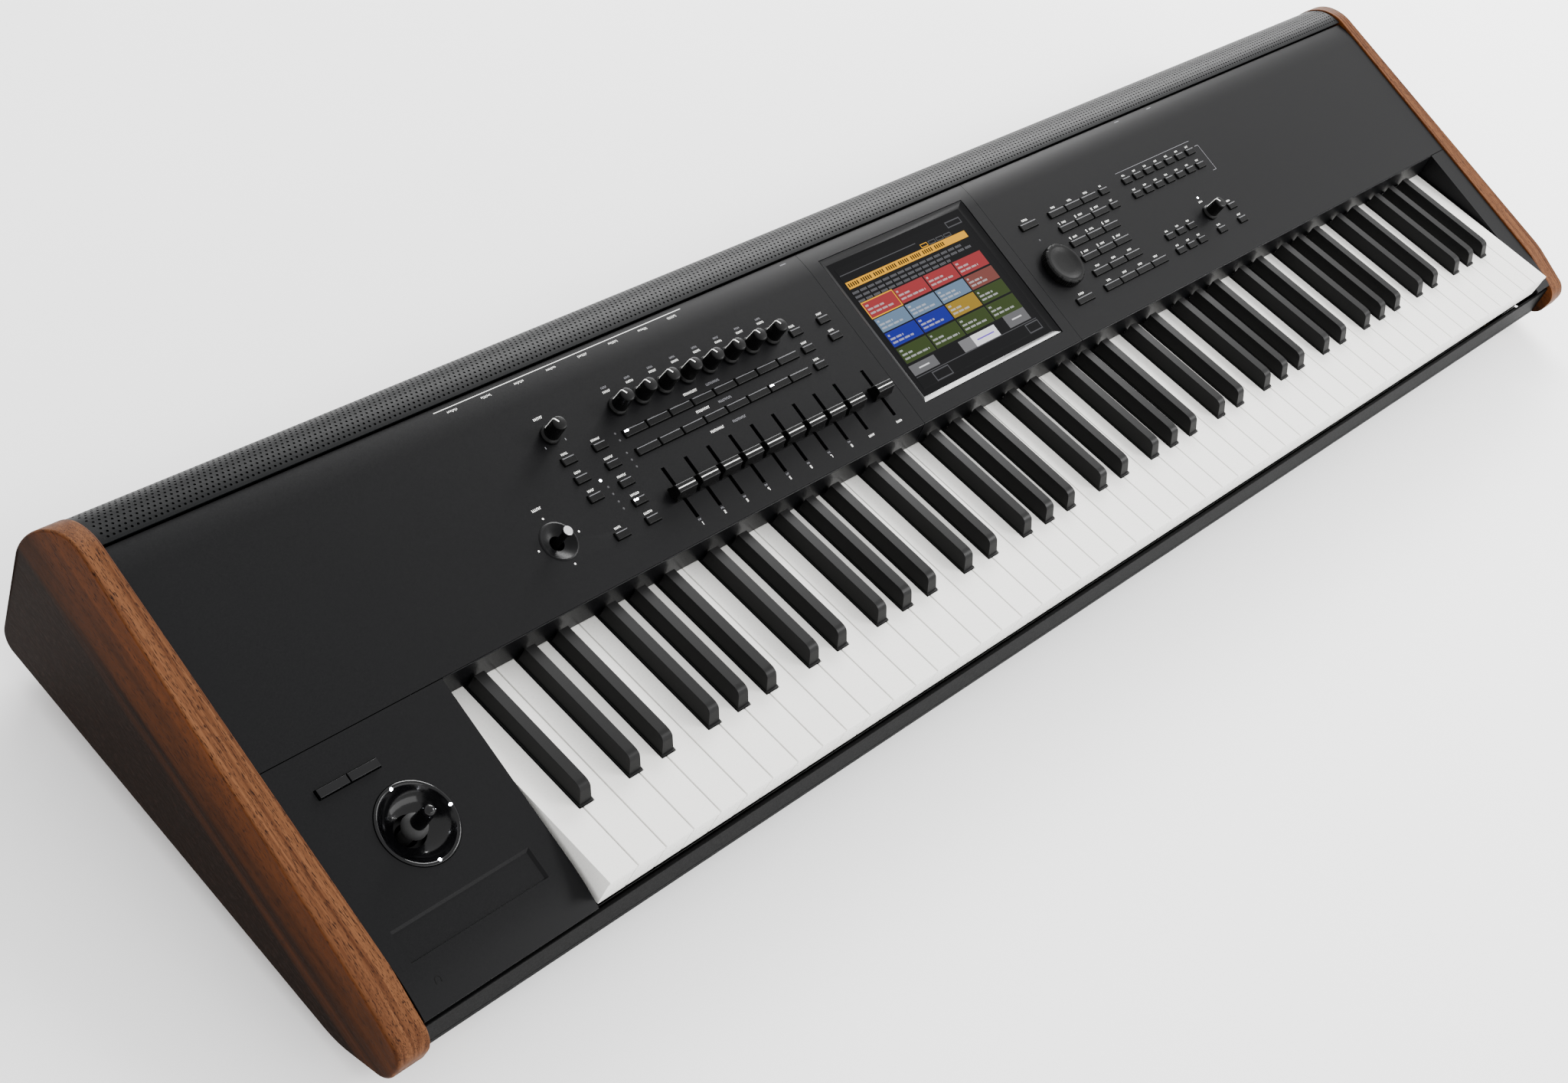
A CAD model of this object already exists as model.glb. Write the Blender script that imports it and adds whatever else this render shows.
"""Visual model of a stage synthesizer: 88 keys, sloping control panel, joysticks, wooden cheeks.

Sizes are millimetres in the key frame: X runs right from the left side of the lowest white key,
Y runs back from the fronts of the white keys, Z runs up from their tops. Pieces on the sloping
control panel use panel coordinates: x as before, s up the slope from the panel's front edge,
h square to the panel.
"""

import logging
import math
from collections.abc import Callable, Iterable, Sequence
from dataclasses import dataclass, field
from enum import Enum

import bmesh
import bpy
import numpy as np
from mathutils import Matrix, Vector

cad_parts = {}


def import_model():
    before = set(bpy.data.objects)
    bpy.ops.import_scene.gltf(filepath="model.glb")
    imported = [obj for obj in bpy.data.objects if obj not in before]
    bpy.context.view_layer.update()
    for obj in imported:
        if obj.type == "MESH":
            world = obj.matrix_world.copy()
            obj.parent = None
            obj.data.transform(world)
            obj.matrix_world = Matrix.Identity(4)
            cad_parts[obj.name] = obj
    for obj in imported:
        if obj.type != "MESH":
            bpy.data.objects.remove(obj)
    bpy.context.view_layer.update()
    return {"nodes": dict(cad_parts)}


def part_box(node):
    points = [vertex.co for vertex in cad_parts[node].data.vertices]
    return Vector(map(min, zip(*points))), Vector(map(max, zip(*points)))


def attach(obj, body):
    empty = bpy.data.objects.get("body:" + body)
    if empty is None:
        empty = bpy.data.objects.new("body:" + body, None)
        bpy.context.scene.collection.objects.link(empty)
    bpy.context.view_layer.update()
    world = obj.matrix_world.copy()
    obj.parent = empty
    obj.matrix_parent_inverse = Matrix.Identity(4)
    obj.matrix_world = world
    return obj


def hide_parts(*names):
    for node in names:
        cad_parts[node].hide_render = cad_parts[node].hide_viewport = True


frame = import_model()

LOG = logging.getLogger("synthesizer")
MM = 0.001

Point = tuple[float, float, float]
Flat = tuple[float, float]
Place = Callable[[float, float, float], Point]
Tree = bpy.types.NodeTree
Socket = bpy.types.NodeSocket
Shader = bpy.types.ShaderNode
Piece = bpy.types.Object

KEY_PITCH = 23.5
KEY_GAP = 1.0
WHITE_COUNT = 52
KEYS_WIDTH = KEY_PITCH * WHITE_COUNT
INNER_LEFT = -135.0
INNER_RIGHT = KEYS_WIDTH + 27.0
SEAM_Y = 152.6
SEAM_Z = 22.4
SLOPE = math.radians(13.84)
PANEL_LENGTH = 153.8
PLATE = 2.2
ROLL_START = 132.0
ROLL_DROP = 2.2
GRILLE_Y = 310.0
GRILLE_Z = 25.0
GRILLE_RADIUS = 34.5
FLOOR_Z = -60.0
GROUND_Z = -74.0
REAR_FACE_Y = 340.0
LEFT_SEAM_X = 453.9
RIGHT_SEAM_X = 651.4

ROW_FIRST = 27.3
ROW_PITCH = 14.6
KNOB_FIRST_X = 229.4
KNOB_PITCH = 21.77
KNOB_ROW = 104.8
SLIDER_MIDDLE = 34.9
MASTER_X = KNOB_FIRST_X + 8 * KNOB_PITCH
VALUE_X = 434.4
DIAL_X = 685.2
DIAL_S = 58.5
LEFT_COLUMN_X = 169.6
SECOND_COLUMN_X = 197.5
DIGITS_X = 723.5
DIGITS_PITCH = 22.7
TOP_ROW_PITCH = 22.5
MODE_X = 790.0
SEQUENCE_X = 824.0
SEQUENCE_PITCH = 16.1
TRANSPORT_X = 823.5
TRANSPORT_PITCH = 16.2
TAP_X = 919.8
SWITCH_S = -25.6
TEMPO = (887.5, 44.9)
VOLUME = (169.0, 106.0)
VECTOR = (125.4, 41.6)
JOYSTICK = (-71.0, -66.3)
SCREEN = (553.4, 77.3)


class Body(Enum):
    """The fixed body and the moving ones that need a name here."""

    CASE = "case"
    DIAL = "value_dial"
    LEVER = "joystick_lever"
    VECTOR_STICK = "vector_stick"
    POWER_SWITCH = "power_switch"


class Slot(Enum):
    """Material slots of the record."""

    WOOD = "cheek_wood"
    METAL = "panel_metal"
    WHITE_KEY = "white_key_plastic"
    BLACK_KEY = "black_key_plastic"
    CONTROL = "control_plastic"
    GLOSS = "gloss_plastic"
    SCREEN = "screen_glass"
    RUBBER = "foot_rubber"
    STEEL = "frame_steel"
    BOARD = "circuit_board"


# ---------------------------------------------------------------- places


def key_origin() -> Vector:
    """World position of the key frame's origin, from the lowest white keys of the CAD."""
    low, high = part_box("white_keys_low")
    return Vector((low[0] - KEY_GAP / 2 * MM, low[1], high[2]))


ORIGIN = key_origin()


def world(point: Sequence[float]) -> Vector:
    """A point of the key frame in world metres."""
    return ORIGIN + Vector(point) * MM


def along_x(y: float, z: float, x: float) -> Point:
    """Puts an outline in the YZ plane and its depth along X."""
    return (x, y, z)


def along_y(x: float, z: float, y: float) -> Point:
    """Puts an outline in the XZ plane and its depth along Y."""
    return (x, y, z)


def along_z(x: float, y: float, z: float) -> Point:
    """Puts an outline in the XY plane and its depth along Z."""
    return (x, y, z)


def on_panel(x: float, s: float, h: float) -> Point:
    """Panel coordinates as a point of the key frame.

    Args:
        x: X of the point.
        s: Distance up the slope.
        h: Height square to the panel.

    Returns:
        The point.
    """
    y = SEAM_Y + s * math.cos(SLOPE) - h * math.sin(SLOPE)
    z = SEAM_Z + s * math.sin(SLOPE) + h * math.cos(SLOPE)
    return (x, y, z)


def panel_at(x: float, s: float) -> Place:
    """Local axes of a piece on the panel, the third one square to it."""
    return lambda u, v, w: on_panel(x + u, s + v, w)


def row(index: int) -> float:
    """Slope distance of one of the six rows of controls."""
    return ROW_FIRST + index * ROW_PITCH


def knob_x(index: int) -> float:
    """X of one of the eight control knobs."""
    return KNOB_FIRST_X + index * KNOB_PITCH


# ---------------------------------------------------------------- finishes


def linear(colour: str) -> tuple[float, float, float, float]:
    """Turns an sRGB hex colour to linear RGBA.

    Args:
        colour: Six hex digits after a hash.

    Returns:
        Linear red, green and blue, and an alpha of 1.
    """
    channels = []
    for start in (1, 3, 5):
        share = int(colour[start : start + 2], 16) / 255
        channels.append(share / 12.92 if share <= 0.04045 else ((share + 0.055) / 1.055) ** 2.4)
    return (*channels, 1.0)


def add_node(tree: Tree, kind: str, inputs: dict | None = None,
             **settings: object) -> bpy.types.Node:
    """Adds a node with its settings, values and links.

    Args:
        tree: The tree that the node goes into.
        kind: The node's type name.
        inputs: Input name or number to a value, or to the socket that feeds it.
        **settings: Properties of the node.

    Returns:
        The new node.
    """
    made = tree.nodes.new(kind)
    for name, value in settings.items():
        setattr(made, name, value)
    for key, value in (inputs or {}).items():
        if isinstance(value, Socket):
            tree.links.new(value, made.inputs[key])
        else:
            made.inputs[key].default_value = value
    return made


@dataclass(frozen=True)
class Finish:
    """A surface with a fine grain, such as moulded plastic or powder coat.

    The grain is a noise of real size in millimetres that moves roughness and relief, and a
    broad, faint noise moves the colour as uneven moulding or handling does.
    """

    name: str
    colour: str
    roughness: float
    metallic: float = 0.0
    specular: float = 0.5
    coat: float = 0.0
    grain: float = 0.8
    relief: float = 0.02
    unevenness: float = 0.08
    glow: float = 0.0

    def material(self) -> bpy.types.Material:
        """The finish as a material, made once.

        Returns:
            The material.
        """
        if self.name in bpy.data.materials:
            return bpy.data.materials[self.name]
        made = bpy.data.materials.new(self.name)
        made.use_nodes = True
        made.diffuse_color = linear(self.colour)
        tree = made.node_tree
        shader = tree.nodes["Principled BSDF"]
        shader.inputs["Base Color"].default_value = linear(self.colour)
        shader.inputs["Metallic"].default_value = self.metallic
        shader.inputs["Specular IOR Level"].default_value = self.specular
        shader.inputs["Coat Weight"].default_value = self.coat
        if self.glow:
            shader.inputs["Emission Color"].default_value = linear(self.colour)
            shader.inputs["Emission Strength"].default_value = self.glow
        self.dress(tree, shader)
        return made

    def dress(self, tree: Tree, shader: Shader) -> None:
        """Adds the pattern nodes."""
        coords = add_node(tree, "ShaderNodeTexCoord").outputs["Object"]
        self.grained(tree, shader, coords, self.tone(tree, coords))

    def tone(self, tree: Tree, coords: Socket) -> Socket:
        """The colour with its broad unevenness, as a socket.

        Args:
            tree: The material's node tree.
            coords: The coordinates' socket.

        Returns:
            The colour's socket.
        """
        broad = add_node(
            tree, "ShaderNodeTexNoise", {"Vector": coords, "Scale": 14.0, "Detail": 3.0}
        )
        red, green, blue, alpha = linear(self.colour)
        low, high = 1 - self.unevenness, 1 + self.unevenness
        mixed = add_node(
            tree, "ShaderNodeMix",
            {0: broad.outputs["Fac"], 6: (red * low, green * low, blue * low, alpha),
             7: (red * high, green * high, blue * high, alpha)},
            data_type="RGBA",
        )
        return mixed.outputs[2]

    def grained(self, tree: Tree, shader: Shader, coords: Socket, colour: Socket) -> None:
        """Feeds colour, roughness and relief to the shader.

        Args:
            tree: The material's node tree.
            shader: Its Principled BSDF.
            coords: The coordinates' socket.
            colour: The colour's socket.
        """
        fine = add_node(
            tree, "ShaderNodeTexNoise",
            {"Vector": coords, "Scale": 1.0 / (self.grain * MM), "Detail": 2.0},
        ).outputs["Fac"]
        rough = add_node(
            tree, "ShaderNodeMapRange",
            {"Value": fine, "From Min": 0.3, "From Max": 0.7,
             "To Min": max(0.02, self.roughness - 0.05), "To Max": self.roughness + 0.05},
        ).outputs["Result"]
        relief = add_node(
            tree, "ShaderNodeBump",
            {"Height": fine, "Strength": 0.5, "Distance": self.relief * MM},
        ).outputs["Normal"]
        tree.links.new(colour, shader.inputs["Base Color"])
        tree.links.new(rough, shader.inputs["Roughness"])
        tree.links.new(relief, shader.inputs["Normal"])


@dataclass(frozen=True)
class Tinted(Finish):
    """A lit display: every block of the picture carries its own colour in an attribute."""

    def dress(self, tree: Tree, shader: Shader) -> None:
        """Takes colour and glow from the tint attribute.

        Args:
            tree: The material's node tree.
            shader: Its Principled BSDF.
        """
        tint = add_node(tree, "ShaderNodeAttribute", attribute_name="tint").outputs["Color"]
        coords = add_node(tree, "ShaderNodeTexCoord").outputs["Object"]
        body = add_node(
            tree, "ShaderNodeMix", {0: 0.8, 6: tint, 7: (0.0, 0.0, 0.0, 1.0)}, data_type="RGBA"
        ).outputs[2]
        self.grained(tree, shader, coords, body)
        tree.links.new(tint, shader.inputs["Emission Color"])


@dataclass(frozen=True)
class Wood(Finish):
    """Reddish-brown hardwood board with open pores under a satin lacquer.

    Growth lines are about 2.4 mm apart across the board and 240 mm long, fibres are fine streaks,
    and the pores are dark dashes 0.4 mm wide and about 5 mm long, as they show on cut edges.
    The stain is darker on the outer faces, and warmer near their top edge.
    """

    dark: str = "#3f2312"
    light: str = "#623f27"
    pore: str = "#1c0d06"
    face: str = "#100703"
    glowing: str = "#512a0f"

    def dress(self, tree: Tree, shader: Shader) -> None:
        """Builds the growth lines, fibres, pores and the stain of the outer faces.

        Args:
            tree: The material's node tree.
            shader: Its Principled BSDF.
        """
        coords = add_node(tree, "ShaderNodeTexCoord").outputs["Object"]
        lie = add_node(
            tree, "ShaderNodeMapping", {"Vector": coords, "Rotation": (-SLOPE, 0.0, 0.0)}
        ).outputs["Vector"]
        lines = self.streaks(tree, lie, (2.4, 240.0, 9.0), 3.0)
        fibres = self.streaks(tree, lie, (0.9, 40.0, 0.9), 4.0)
        pores = self.streaks(tree, lie, (0.42, 4.5, 0.42), 0.0)
        blend = add_node(
            tree, "ShaderNodeMath", {0: fibres, 1: 0.35, 2: lines}, operation="MULTIPLY_ADD"
        ).outputs[0]
        share = add_node(
            tree, "ShaderNodeMapRange", {"Value": blend, "From Min": 0.5, "From Max": 0.84}
        ).outputs["Result"]
        board = self.mixed(tree, share, linear(self.dark), linear(self.light))
        outer, stain = self.outer_share(tree, lie, lines)
        stained = self.mixed(tree, outer, board, stain)
        dark_pore = add_node(
            tree, "ShaderNodeMapRange", {"Value": pores, "From Min": 0.56, "From Max": 0.63}
        ).outputs["Result"]
        pored = self.mixed(tree, dark_pore, stained, linear(self.pore))
        fine = add_node(
            tree, "ShaderNodeBump",
            {"Height": dark_pore, "Strength": 0.4, "Distance": 0.15 * MM},
            invert=True,
        ).outputs["Normal"]
        rough = add_node(
            tree, "ShaderNodeMapRange",
            {"Value": fibres, "To Min": self.roughness - 0.08, "To Max": self.roughness + 0.1},
        ).outputs["Result"]
        tree.links.new(pored, shader.inputs["Base Color"])
        tree.links.new(rough, shader.inputs["Roughness"])
        tree.links.new(fine, shader.inputs["Normal"])

    def streaks(self, tree: Tree, lie: Socket, size: Point, distortion: float) -> Socket:
        """Noise drawn out along the board.

        Args:
            tree: The material's node tree.
            lie: Coordinates turned to the board's slope.
            size: Size of one streak in millimetres.
            distortion: How much the streaks wander.

        Returns:
            The noise's socket.
        """
        scaled = add_node(
            tree, "ShaderNodeMapping",
            {"Vector": lie, "Scale": tuple(1 / (side * MM) for side in size)},
        ).outputs["Vector"]
        noise = add_node(
            tree, "ShaderNodeTexNoise",
            {"Vector": scaled, "Scale": 1.0, "Detail": 3.0, "Distortion": distortion * 0.1},
        )
        return noise.outputs["Fac"]

    def mixed(self, tree: Tree, share: Socket, first: object, second: object) -> Socket:
        """Mixes two colours, each a socket or a value."""
        inputs = {0: share, 6: first, 7: second}
        return add_node(tree, "ShaderNodeMix", inputs, data_type="RGBA").outputs[2]

    def outer_share(self, tree: Tree, lie: Socket, lines: Socket) -> tuple[Socket, Socket]:
        """How much of the outer stain shows, and its colour.

        Args:
            tree: The material's node tree.
            lie: Coordinates turned to the board's slope.
            lines: The growth lines' noise.

        Returns:
            A socket of the share and a socket of the colour.
        """
        normal = add_node(tree, "ShaderNodeNewGeometry").outputs["Normal"]
        facing = add_node(tree, "ShaderNodeSeparateXYZ", {0: normal}).outputs["X"]
        side = add_node(tree, "ShaderNodeMath", {0: facing}, operation="ABSOLUTE").outputs[0]
        share = add_node(
            tree, "ShaderNodeMapRange", {"Value": side, "From Min": 0.55, "From Max": 0.9}
        ).outputs["Result"]
        height = add_node(tree, "ShaderNodeSeparateXYZ", {0: lie}).outputs["Z"]
        wavy = add_node(
            tree, "ShaderNodeMath", {0: lines, 1: 0.06, 2: height}, operation="MULTIPLY_ADD"
        ).outputs[0]
        warm = add_node(
            tree, "ShaderNodeMapRange", {"Value": wavy, "From Min": 0.085, "From Max": 0.14}
        ).outputs["Result"]
        stain = self.mixed(tree, warm, linear(self.face), linear(self.glowing))
        return share, stain


# Powder coat over sheet steel: very even, dull, with a fine orange-peel that breaks up shine.
POWDER = Finish("powder_coated_steel", "#080809", 0.36, specular=0.08, grain=0.9, relief=0.02)
# The front rail has the same coat, dull where hands and sleeves rub it.
RAIL_COAT = Finish("dull_powder_coated_rail", "#020202", 0.55, specular=0.03, grain=0.9,
                   relief=0.02)
# The perforated sheet has the same coat, a little duller where the holes were punched.
PERFORATED = Finish("powder_coated_perforated_sheet", "#060708", 0.45, specular=0.06,
                    grain=0.9, relief=0.02)
# ABS key caps with a light fine texture.
BUTTON_PLASTIC = Finish("moulded_black_abs", "#050505", 0.36, specular=0.08, grain=0.6, relief=0.01)
# Hard-wearing acetal of the knobs, satin from the mould.
KNOB_PLASTIC = Finish("moulded_black_acetal", "#050505", 0.32, specular=0.1, grain=0.5, relief=0.01)
# Piano-black polycarbonate: a smooth mirror-like skin.
GLOSS_PLASTIC = Finish("polished_black_polycarbonate", "#050506", 0.12, specular=0.2, relief=0.002)
# Acrylic white keys: a soft gloss over a warm white body.
WHITE_ACRYLIC = Finish("polished_white_acrylic", "#e4e3df", 0.3, grain=1.5, relief=0.004,
                       unevenness=0.015)
# Black keys are moulded from a phenolic-look plastic with a dull, finely grained skin.
BLACK_PHENOLIC = Finish("satin_black_phenolic", "#090909", 0.4, specular=0.11, grain=0.5,
                        relief=0.012)
# Screen-printed white ink, thin and matte.
INK = Finish("printed_white_ink", "#f2f2ee", 0.6, relief=0.004)
DIM_INK = Finish("printed_grey_ink", "#6c6c70", 0.6, specular=0.2, relief=0.004)
# White light from an LED behind a clear window.
LED = Finish("lit_white_led", "#f4f6ff", 0.3, glow=30.0)
DARK_LED = Finish("unlit_led_window", "#2c2c2e", 0.2, relief=0.002)
# Picture of the display behind gloss glass.
PICTURE = Tinted("lit_display_picture", "#000000", 0.12, specular=0.06, glow=0.95, relief=0.001)
# The bezel and the glass in it: satin moulding, then a dark, smooth sheet.
BEZEL = Finish("satin_black_bezel", "#070707", 0.3, specular=0.5, grain=0.6, relief=0.01)
GLASS = Finish("black_display_glass", "#030304", 0.1, specular=0.06, relief=0.001)
# Moulded rubber is dull and a little grey, and pressed wool felt is rougher still.
RUBBER = Finish("moulded_black_rubber", "#1a1a1a", 0.75, grain=0.7, relief=0.05)
FELT = Finish("grey_wool_felt", "#3c3a38", 0.95, grain=0.4, relief=0.25, unevenness=0.2)
# Plated and turned metal keeps a fine satin sheen from the tool.
SILVER = Finish("satin_nickel_plate", "#c8c8c8", 0.25, metallic=1.0, grain=0.5, relief=0.004)
DULL_NICKEL = Finish("dull_nickel_plate", "#6e6e70", 0.38, metallic=1.0, grain=0.5, relief=0.006)
BRASS = Finish("turned_brass", "#b08a4a", 0.3, metallic=1.0, grain=0.5, relief=0.006)
FRAME_COAT = Finish("black_passivated_steel", "#141414", 0.5, metallic=0.6, grain=1.2, relief=0.01)
ZINC = Finish("zinc_plated_sheet", "#9a9c9e", 0.4, metallic=1.0, grain=2.5, relief=0.006,
              unevenness=0.15)
# The lacquer over a circuit board lets the copper show through as green.
SOLDER_MASK = Finish("green_solder_mask", "#1c4a2c", 0.35, grain=1.2, relief=0.02)
# Open-pored hardwood under a thin satin lacquer, which lets the dark pores show.
CHEEK_WOOD = Wood("lacquered_hardwood", "#5e3a20", 0.5, specular=0.04)


# ---------------------------------------------------------------- shapes


def box_outline(u: float, v: float, width: float, height: float) -> list[Flat]:
    """A rectangle about its middle."""
    u0, u1, v0, v1 = u - width / 2, u + width / 2, v - height / 2, v + height / 2
    return [(u0, v0), (u1, v0), (u1, v1), (u0, v1)]


def rounded(corners: Sequence[Point], step: float = math.radians(9)) -> list[Flat]:
    """Rounds the corners of an outline.

    Args:
        corners: (u, v, radius) of each corner.
        step: Turn of one facet of an arc.

    Returns:
        The outline's points.
    """
    outline: list[Flat] = []
    for i, (u, v, radius) in enumerate(corners):
        here = Vector((u, v))
        before = (Vector(corners[i - 1][:2]) - here).normalized()
        after = (Vector(corners[(i + 1) % len(corners)][:2]) - here).normalized()
        turn = math.pi - before.angle(after)
        if radius == 0:
            outline.append((u, v))
            continue
        middle = here + (before + after).normalized() * radius / math.cos(turn / 2)
        start = here + before * radius * math.tan(turn / 2) - middle
        side = 1 if before.cross(after) < 0 else -1
        count = max(1, round(turn / step))
        for k in range(count + 1):
            spoke = start.copy()
            spoke.rotate(Matrix.Rotation(side * turn * k / count, 2))
            outline.append(tuple(middle + spoke))
    return outline


def rounded_box(u: float, v: float, width: float, height: float, radius: float) -> list[Flat]:
    """A rectangle with round corners."""
    corners = [(*corner, radius) for corner in box_outline(u, v, width, height)]
    return rounded(corners, math.radians(30))


def linked(name: str, data: bpy.types.ID) -> Piece:
    """Makes an object and puts it in the scene.

    Args:
        name: Its name.
        data: Its mesh, lamp or camera.

    Returns:
        The object.
    """
    made = bpy.data.objects.new(name, data)
    bpy.context.scene.collection.objects.link(made)
    return made


class Shape:
    """Points and faces of a piece while it is made, in millimetres of the key frame."""

    def __init__(self) -> None:
        """Starts with nothing."""
        self.points: list[Point] = []
        self.faces: list[tuple[int, ...]] = []
        self.tags: list[int] = []
        self.tints: list[str] = []

    def add(self, points: Iterable[Point], faces: Iterable[Sequence[int]], tag: int = 0,
            tint: str = "#000000") -> "Shape":
        """Adds a body of its own.

        Args:
            points: Its points.
            faces: Its faces, as numbers of its own points.
            tag: Number of its finish.
            tint: Colour of its faces.

        Returns:
            This shape.
        """
        start = len(self.points)
        self.points += points
        for face in faces:
            self.faces.append(tuple(start + i for i in face))
            self.tags.append(tag)
            self.tints.append(tint)
        return self

    def loft(self, rings: Sequence[Sequence[Point]], tag: int = 0, tint: str = "#000000",
             closed: bool = False) -> "Shape":
        """Joins rings of equally many points, and fills the end rings unless it is closed.

        Args:
            rings: The rings' points.
            tag: Number of its finish.
            tint: Colour of its faces.
            closed: True to join the last ring to the first one.

        Returns:
            This shape.
        """
        n = len(rings[0])
        count = len(rings)
        faces: list[tuple[int, ...]] = []
        if not closed:
            faces += [tuple(range(n))[::-1], tuple(range((count - 1) * n, count * n))]
        for r in range(count if closed else count - 1):
            after = (r + 1) % count
            for i in range(n):
                j = (i + 1) % n
                faces.append((r * n + i, r * n + j, after * n + j, after * n + i))
        return self.add([p for ring in rings for p in ring], faces, tag, tint)

    def prism(self, outline: Sequence[Flat], low: float, high: float, put: Place, tag: int = 0,
              tint: str = "#000000") -> "Shape":
        """Extrudes an outline."""
        rings = [[put(u, v, w) for u, v in outline] for w in (low, high)]
        return self.loft(rings, tag, tint)

    def turned(self, profile: Sequence[Flat], segments: int, put: Place, tag: int = 0,
               closed: bool = False, wave: Callable[[float, int], float] | None = None) -> "Shape":
        """Turns a profile about the third axis of put.

        Args:
            profile: (radius, height) from one end to the other, or round a closed section.
            segments: Facets round the axis.
            put: Places local coordinates.
            tag: Number of its finish.
            closed: True for a ring, False for a body that ends on its axis.
            wave: Adds to the radius, from the angle and the profile point's number.

        Returns:
            This shape.
        """
        rings = []
        for number, (radius, height) in enumerate(profile):
            ring = []
            for k in range(segments):
                angle = 2 * math.pi * k / segments
                reach = radius + (wave(angle, number) if wave else 0.0)
                ring.append(put(reach * math.cos(angle), reach * math.sin(angle), height))
            rings.append(ring)
        return self.loft(rings, tag, closed=closed)

    def object(self, name: str, finishes: Sequence[Finish]) -> Piece:
        """Makes the mesh object, with outward faces, its finishes and its tints.

        Args:
            name: The piece's name.
            finishes: Its finishes, in the order of their numbers.

        Returns:
            The piece.
        """
        mesh = bpy.data.meshes.new(name)
        build = bmesh.new()
        corners = [build.verts.new(world(point)) for point in self.points]
        layer = build.faces.layers.int.new("order")
        for number, face in enumerate(self.faces):
            made = build.faces.new([corners[i] for i in face])
            made[layer] = number
            made.material_index = self.tags[number]
        bmesh.ops.recalc_face_normals(build, faces=build.faces)
        order = [face[layer] for face in build.faces]
        build.to_mesh(mesh)
        build.free()
        mesh.attributes.remove(mesh.attributes["order"])
        for finish in finishes:
            mesh.materials.append(finish.material())
        if any(isinstance(finish, Tinted) for finish in finishes):
            tint = mesh.color_attributes.new("tint", "FLOAT_COLOR", "CORNER")
            for polygon, number in zip(mesh.polygons, order):
                for loop in polygon.loop_indices:
                    tint.data[loop].color = linear(self.tints[number])
        return linked(name, mesh)


def copied(node: str, name: str, finish: Finish,
           change: Callable[[bmesh.types.BMesh], object]) -> Piece:
    """Makes a merged and dressed copy of a CAD node.

    Args:
        node: The CAD node.
        name: The copy's name.
        finish: Its finish.
        change: Changes its mesh once the doubles are merged.

    Returns:
        The piece.
    """
    mesh = frame["nodes"][node].data.copy()
    mesh.name = name
    mesh.materials.clear()
    mesh.materials.append(finish.material())
    build = bmesh.new()
    build.from_mesh(mesh)
    bmesh.ops.remove_doubles(build, verts=build.verts, dist=1e-6)
    change(build)
    build.to_mesh(mesh)
    build.free()
    return linked(name, mesh)


def repeater(name: str, inputs: dict[str, str], output: str) -> tuple[Tree, Sequence[Socket]]:
    """Starts a Geometry Nodes tree.

    Args:
        name: The tree's name.
        inputs: Each input's name, and its kind.
        output: Name of the geometry that comes out.

    Returns:
        The tree, and the sockets that its inputs come in by.
    """
    tree = bpy.data.node_groups.new(name, "GeometryNodeTree")
    for label, kind in inputs.items():
        tree.interface.new_socket(label, in_out="INPUT", socket_type=f"NodeSocket{kind}")
    tree.interface.new_socket(output, in_out="OUTPUT", socket_type="NodeSocketGeometry")
    return tree, add_node(tree, "NodeGroupInput").outputs


def repeat(piece: Piece, tree: Tree, values: dict[str, object]) -> None:
    """Runs a Geometry Nodes tree on a piece and leaves a plain mesh.

    Args:
        piece: The piece.
        tree: The tree.
        values: Values of its inputs, by name.
    """
    modifier = piece.modifiers.new(tree.name, "NODES")
    modifier.node_group = tree
    for item in tree.interface.items_tree:
        if item.name in values:
            modifier[item.identifier] = values[item.name]
    settle(piece)


def settle(piece: Piece) -> None:
    """Applies a piece's modifiers, so that a plain mesh is left.

    Args:
        piece: The piece.
    """
    graph = bpy.context.evaluated_depsgraph_get()
    mesh = bpy.data.meshes.new_from_object(piece.evaluated_get(graph))
    piece.modifiers.clear()
    old, piece.data = piece.data, mesh
    mesh.name = piece.name
    bpy.data.meshes.remove(old)


def soften(piece: Piece, width: float, segments: int = 2,
           angle: float = 30.0) -> Piece:
    """Rounds a piece's sharp edges.

    Args:
        piece: The piece.
        width: Width of the rounding in millimetres.
        segments: Facets of the rounding.
        angle: Edges that turn by more degrees than this are rounded.

    Returns:
        The piece.
    """
    piece.data.shade_smooth()
    bevel = piece.modifiers.new("soften", "BEVEL")
    bevel.width = width * MM
    bevel.segments = segments
    bevel.limit_method = "ANGLE"
    bevel.angle_limit = math.radians(angle)
    bevel.harden_normals = True
    bevel.use_clamp_overlap = True
    bevel.miter_outer = "MITER_ARC"
    settle(piece)
    return piece


def smooth(piece: Piece, angle: float = 35.0) -> Piece:
    """Shades a piece smooth except over its sharp edges.

    Args:
        piece: The piece.
        angle: Edges that turn by more degrees than this stay sharp.

    Returns:
        The piece.
    """
    piece.data.shade_smooth()
    piece.data.set_sharp_from_angle(angle=math.radians(angle))
    weigh = piece.modifiers.new("weigh", "WEIGHTED_NORMAL")
    weigh.keep_sharp = True
    settle(piece)
    return piece


def cut(piece: Piece, tools: Sequence[Shape]) -> None:
    """Cuts shapes out of a piece, one after the other.

    Args:
        piece: The piece.
        tools: The shapes that are cut out.
    """
    helpers = []
    for number, tool in enumerate(tools):
        helper = tool.object(f"{piece.name}_tool_{number}", [])
        modifier = piece.modifiers.new("cut", "BOOLEAN")
        modifier.object = helper
        modifier.operation = "DIFFERENCE"
        modifier.solver = "EXACT"
        helpers.append(helper)
    settle(piece)
    for helper in helpers:
        bpy.data.objects.remove(helper, do_unlink=True)


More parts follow.
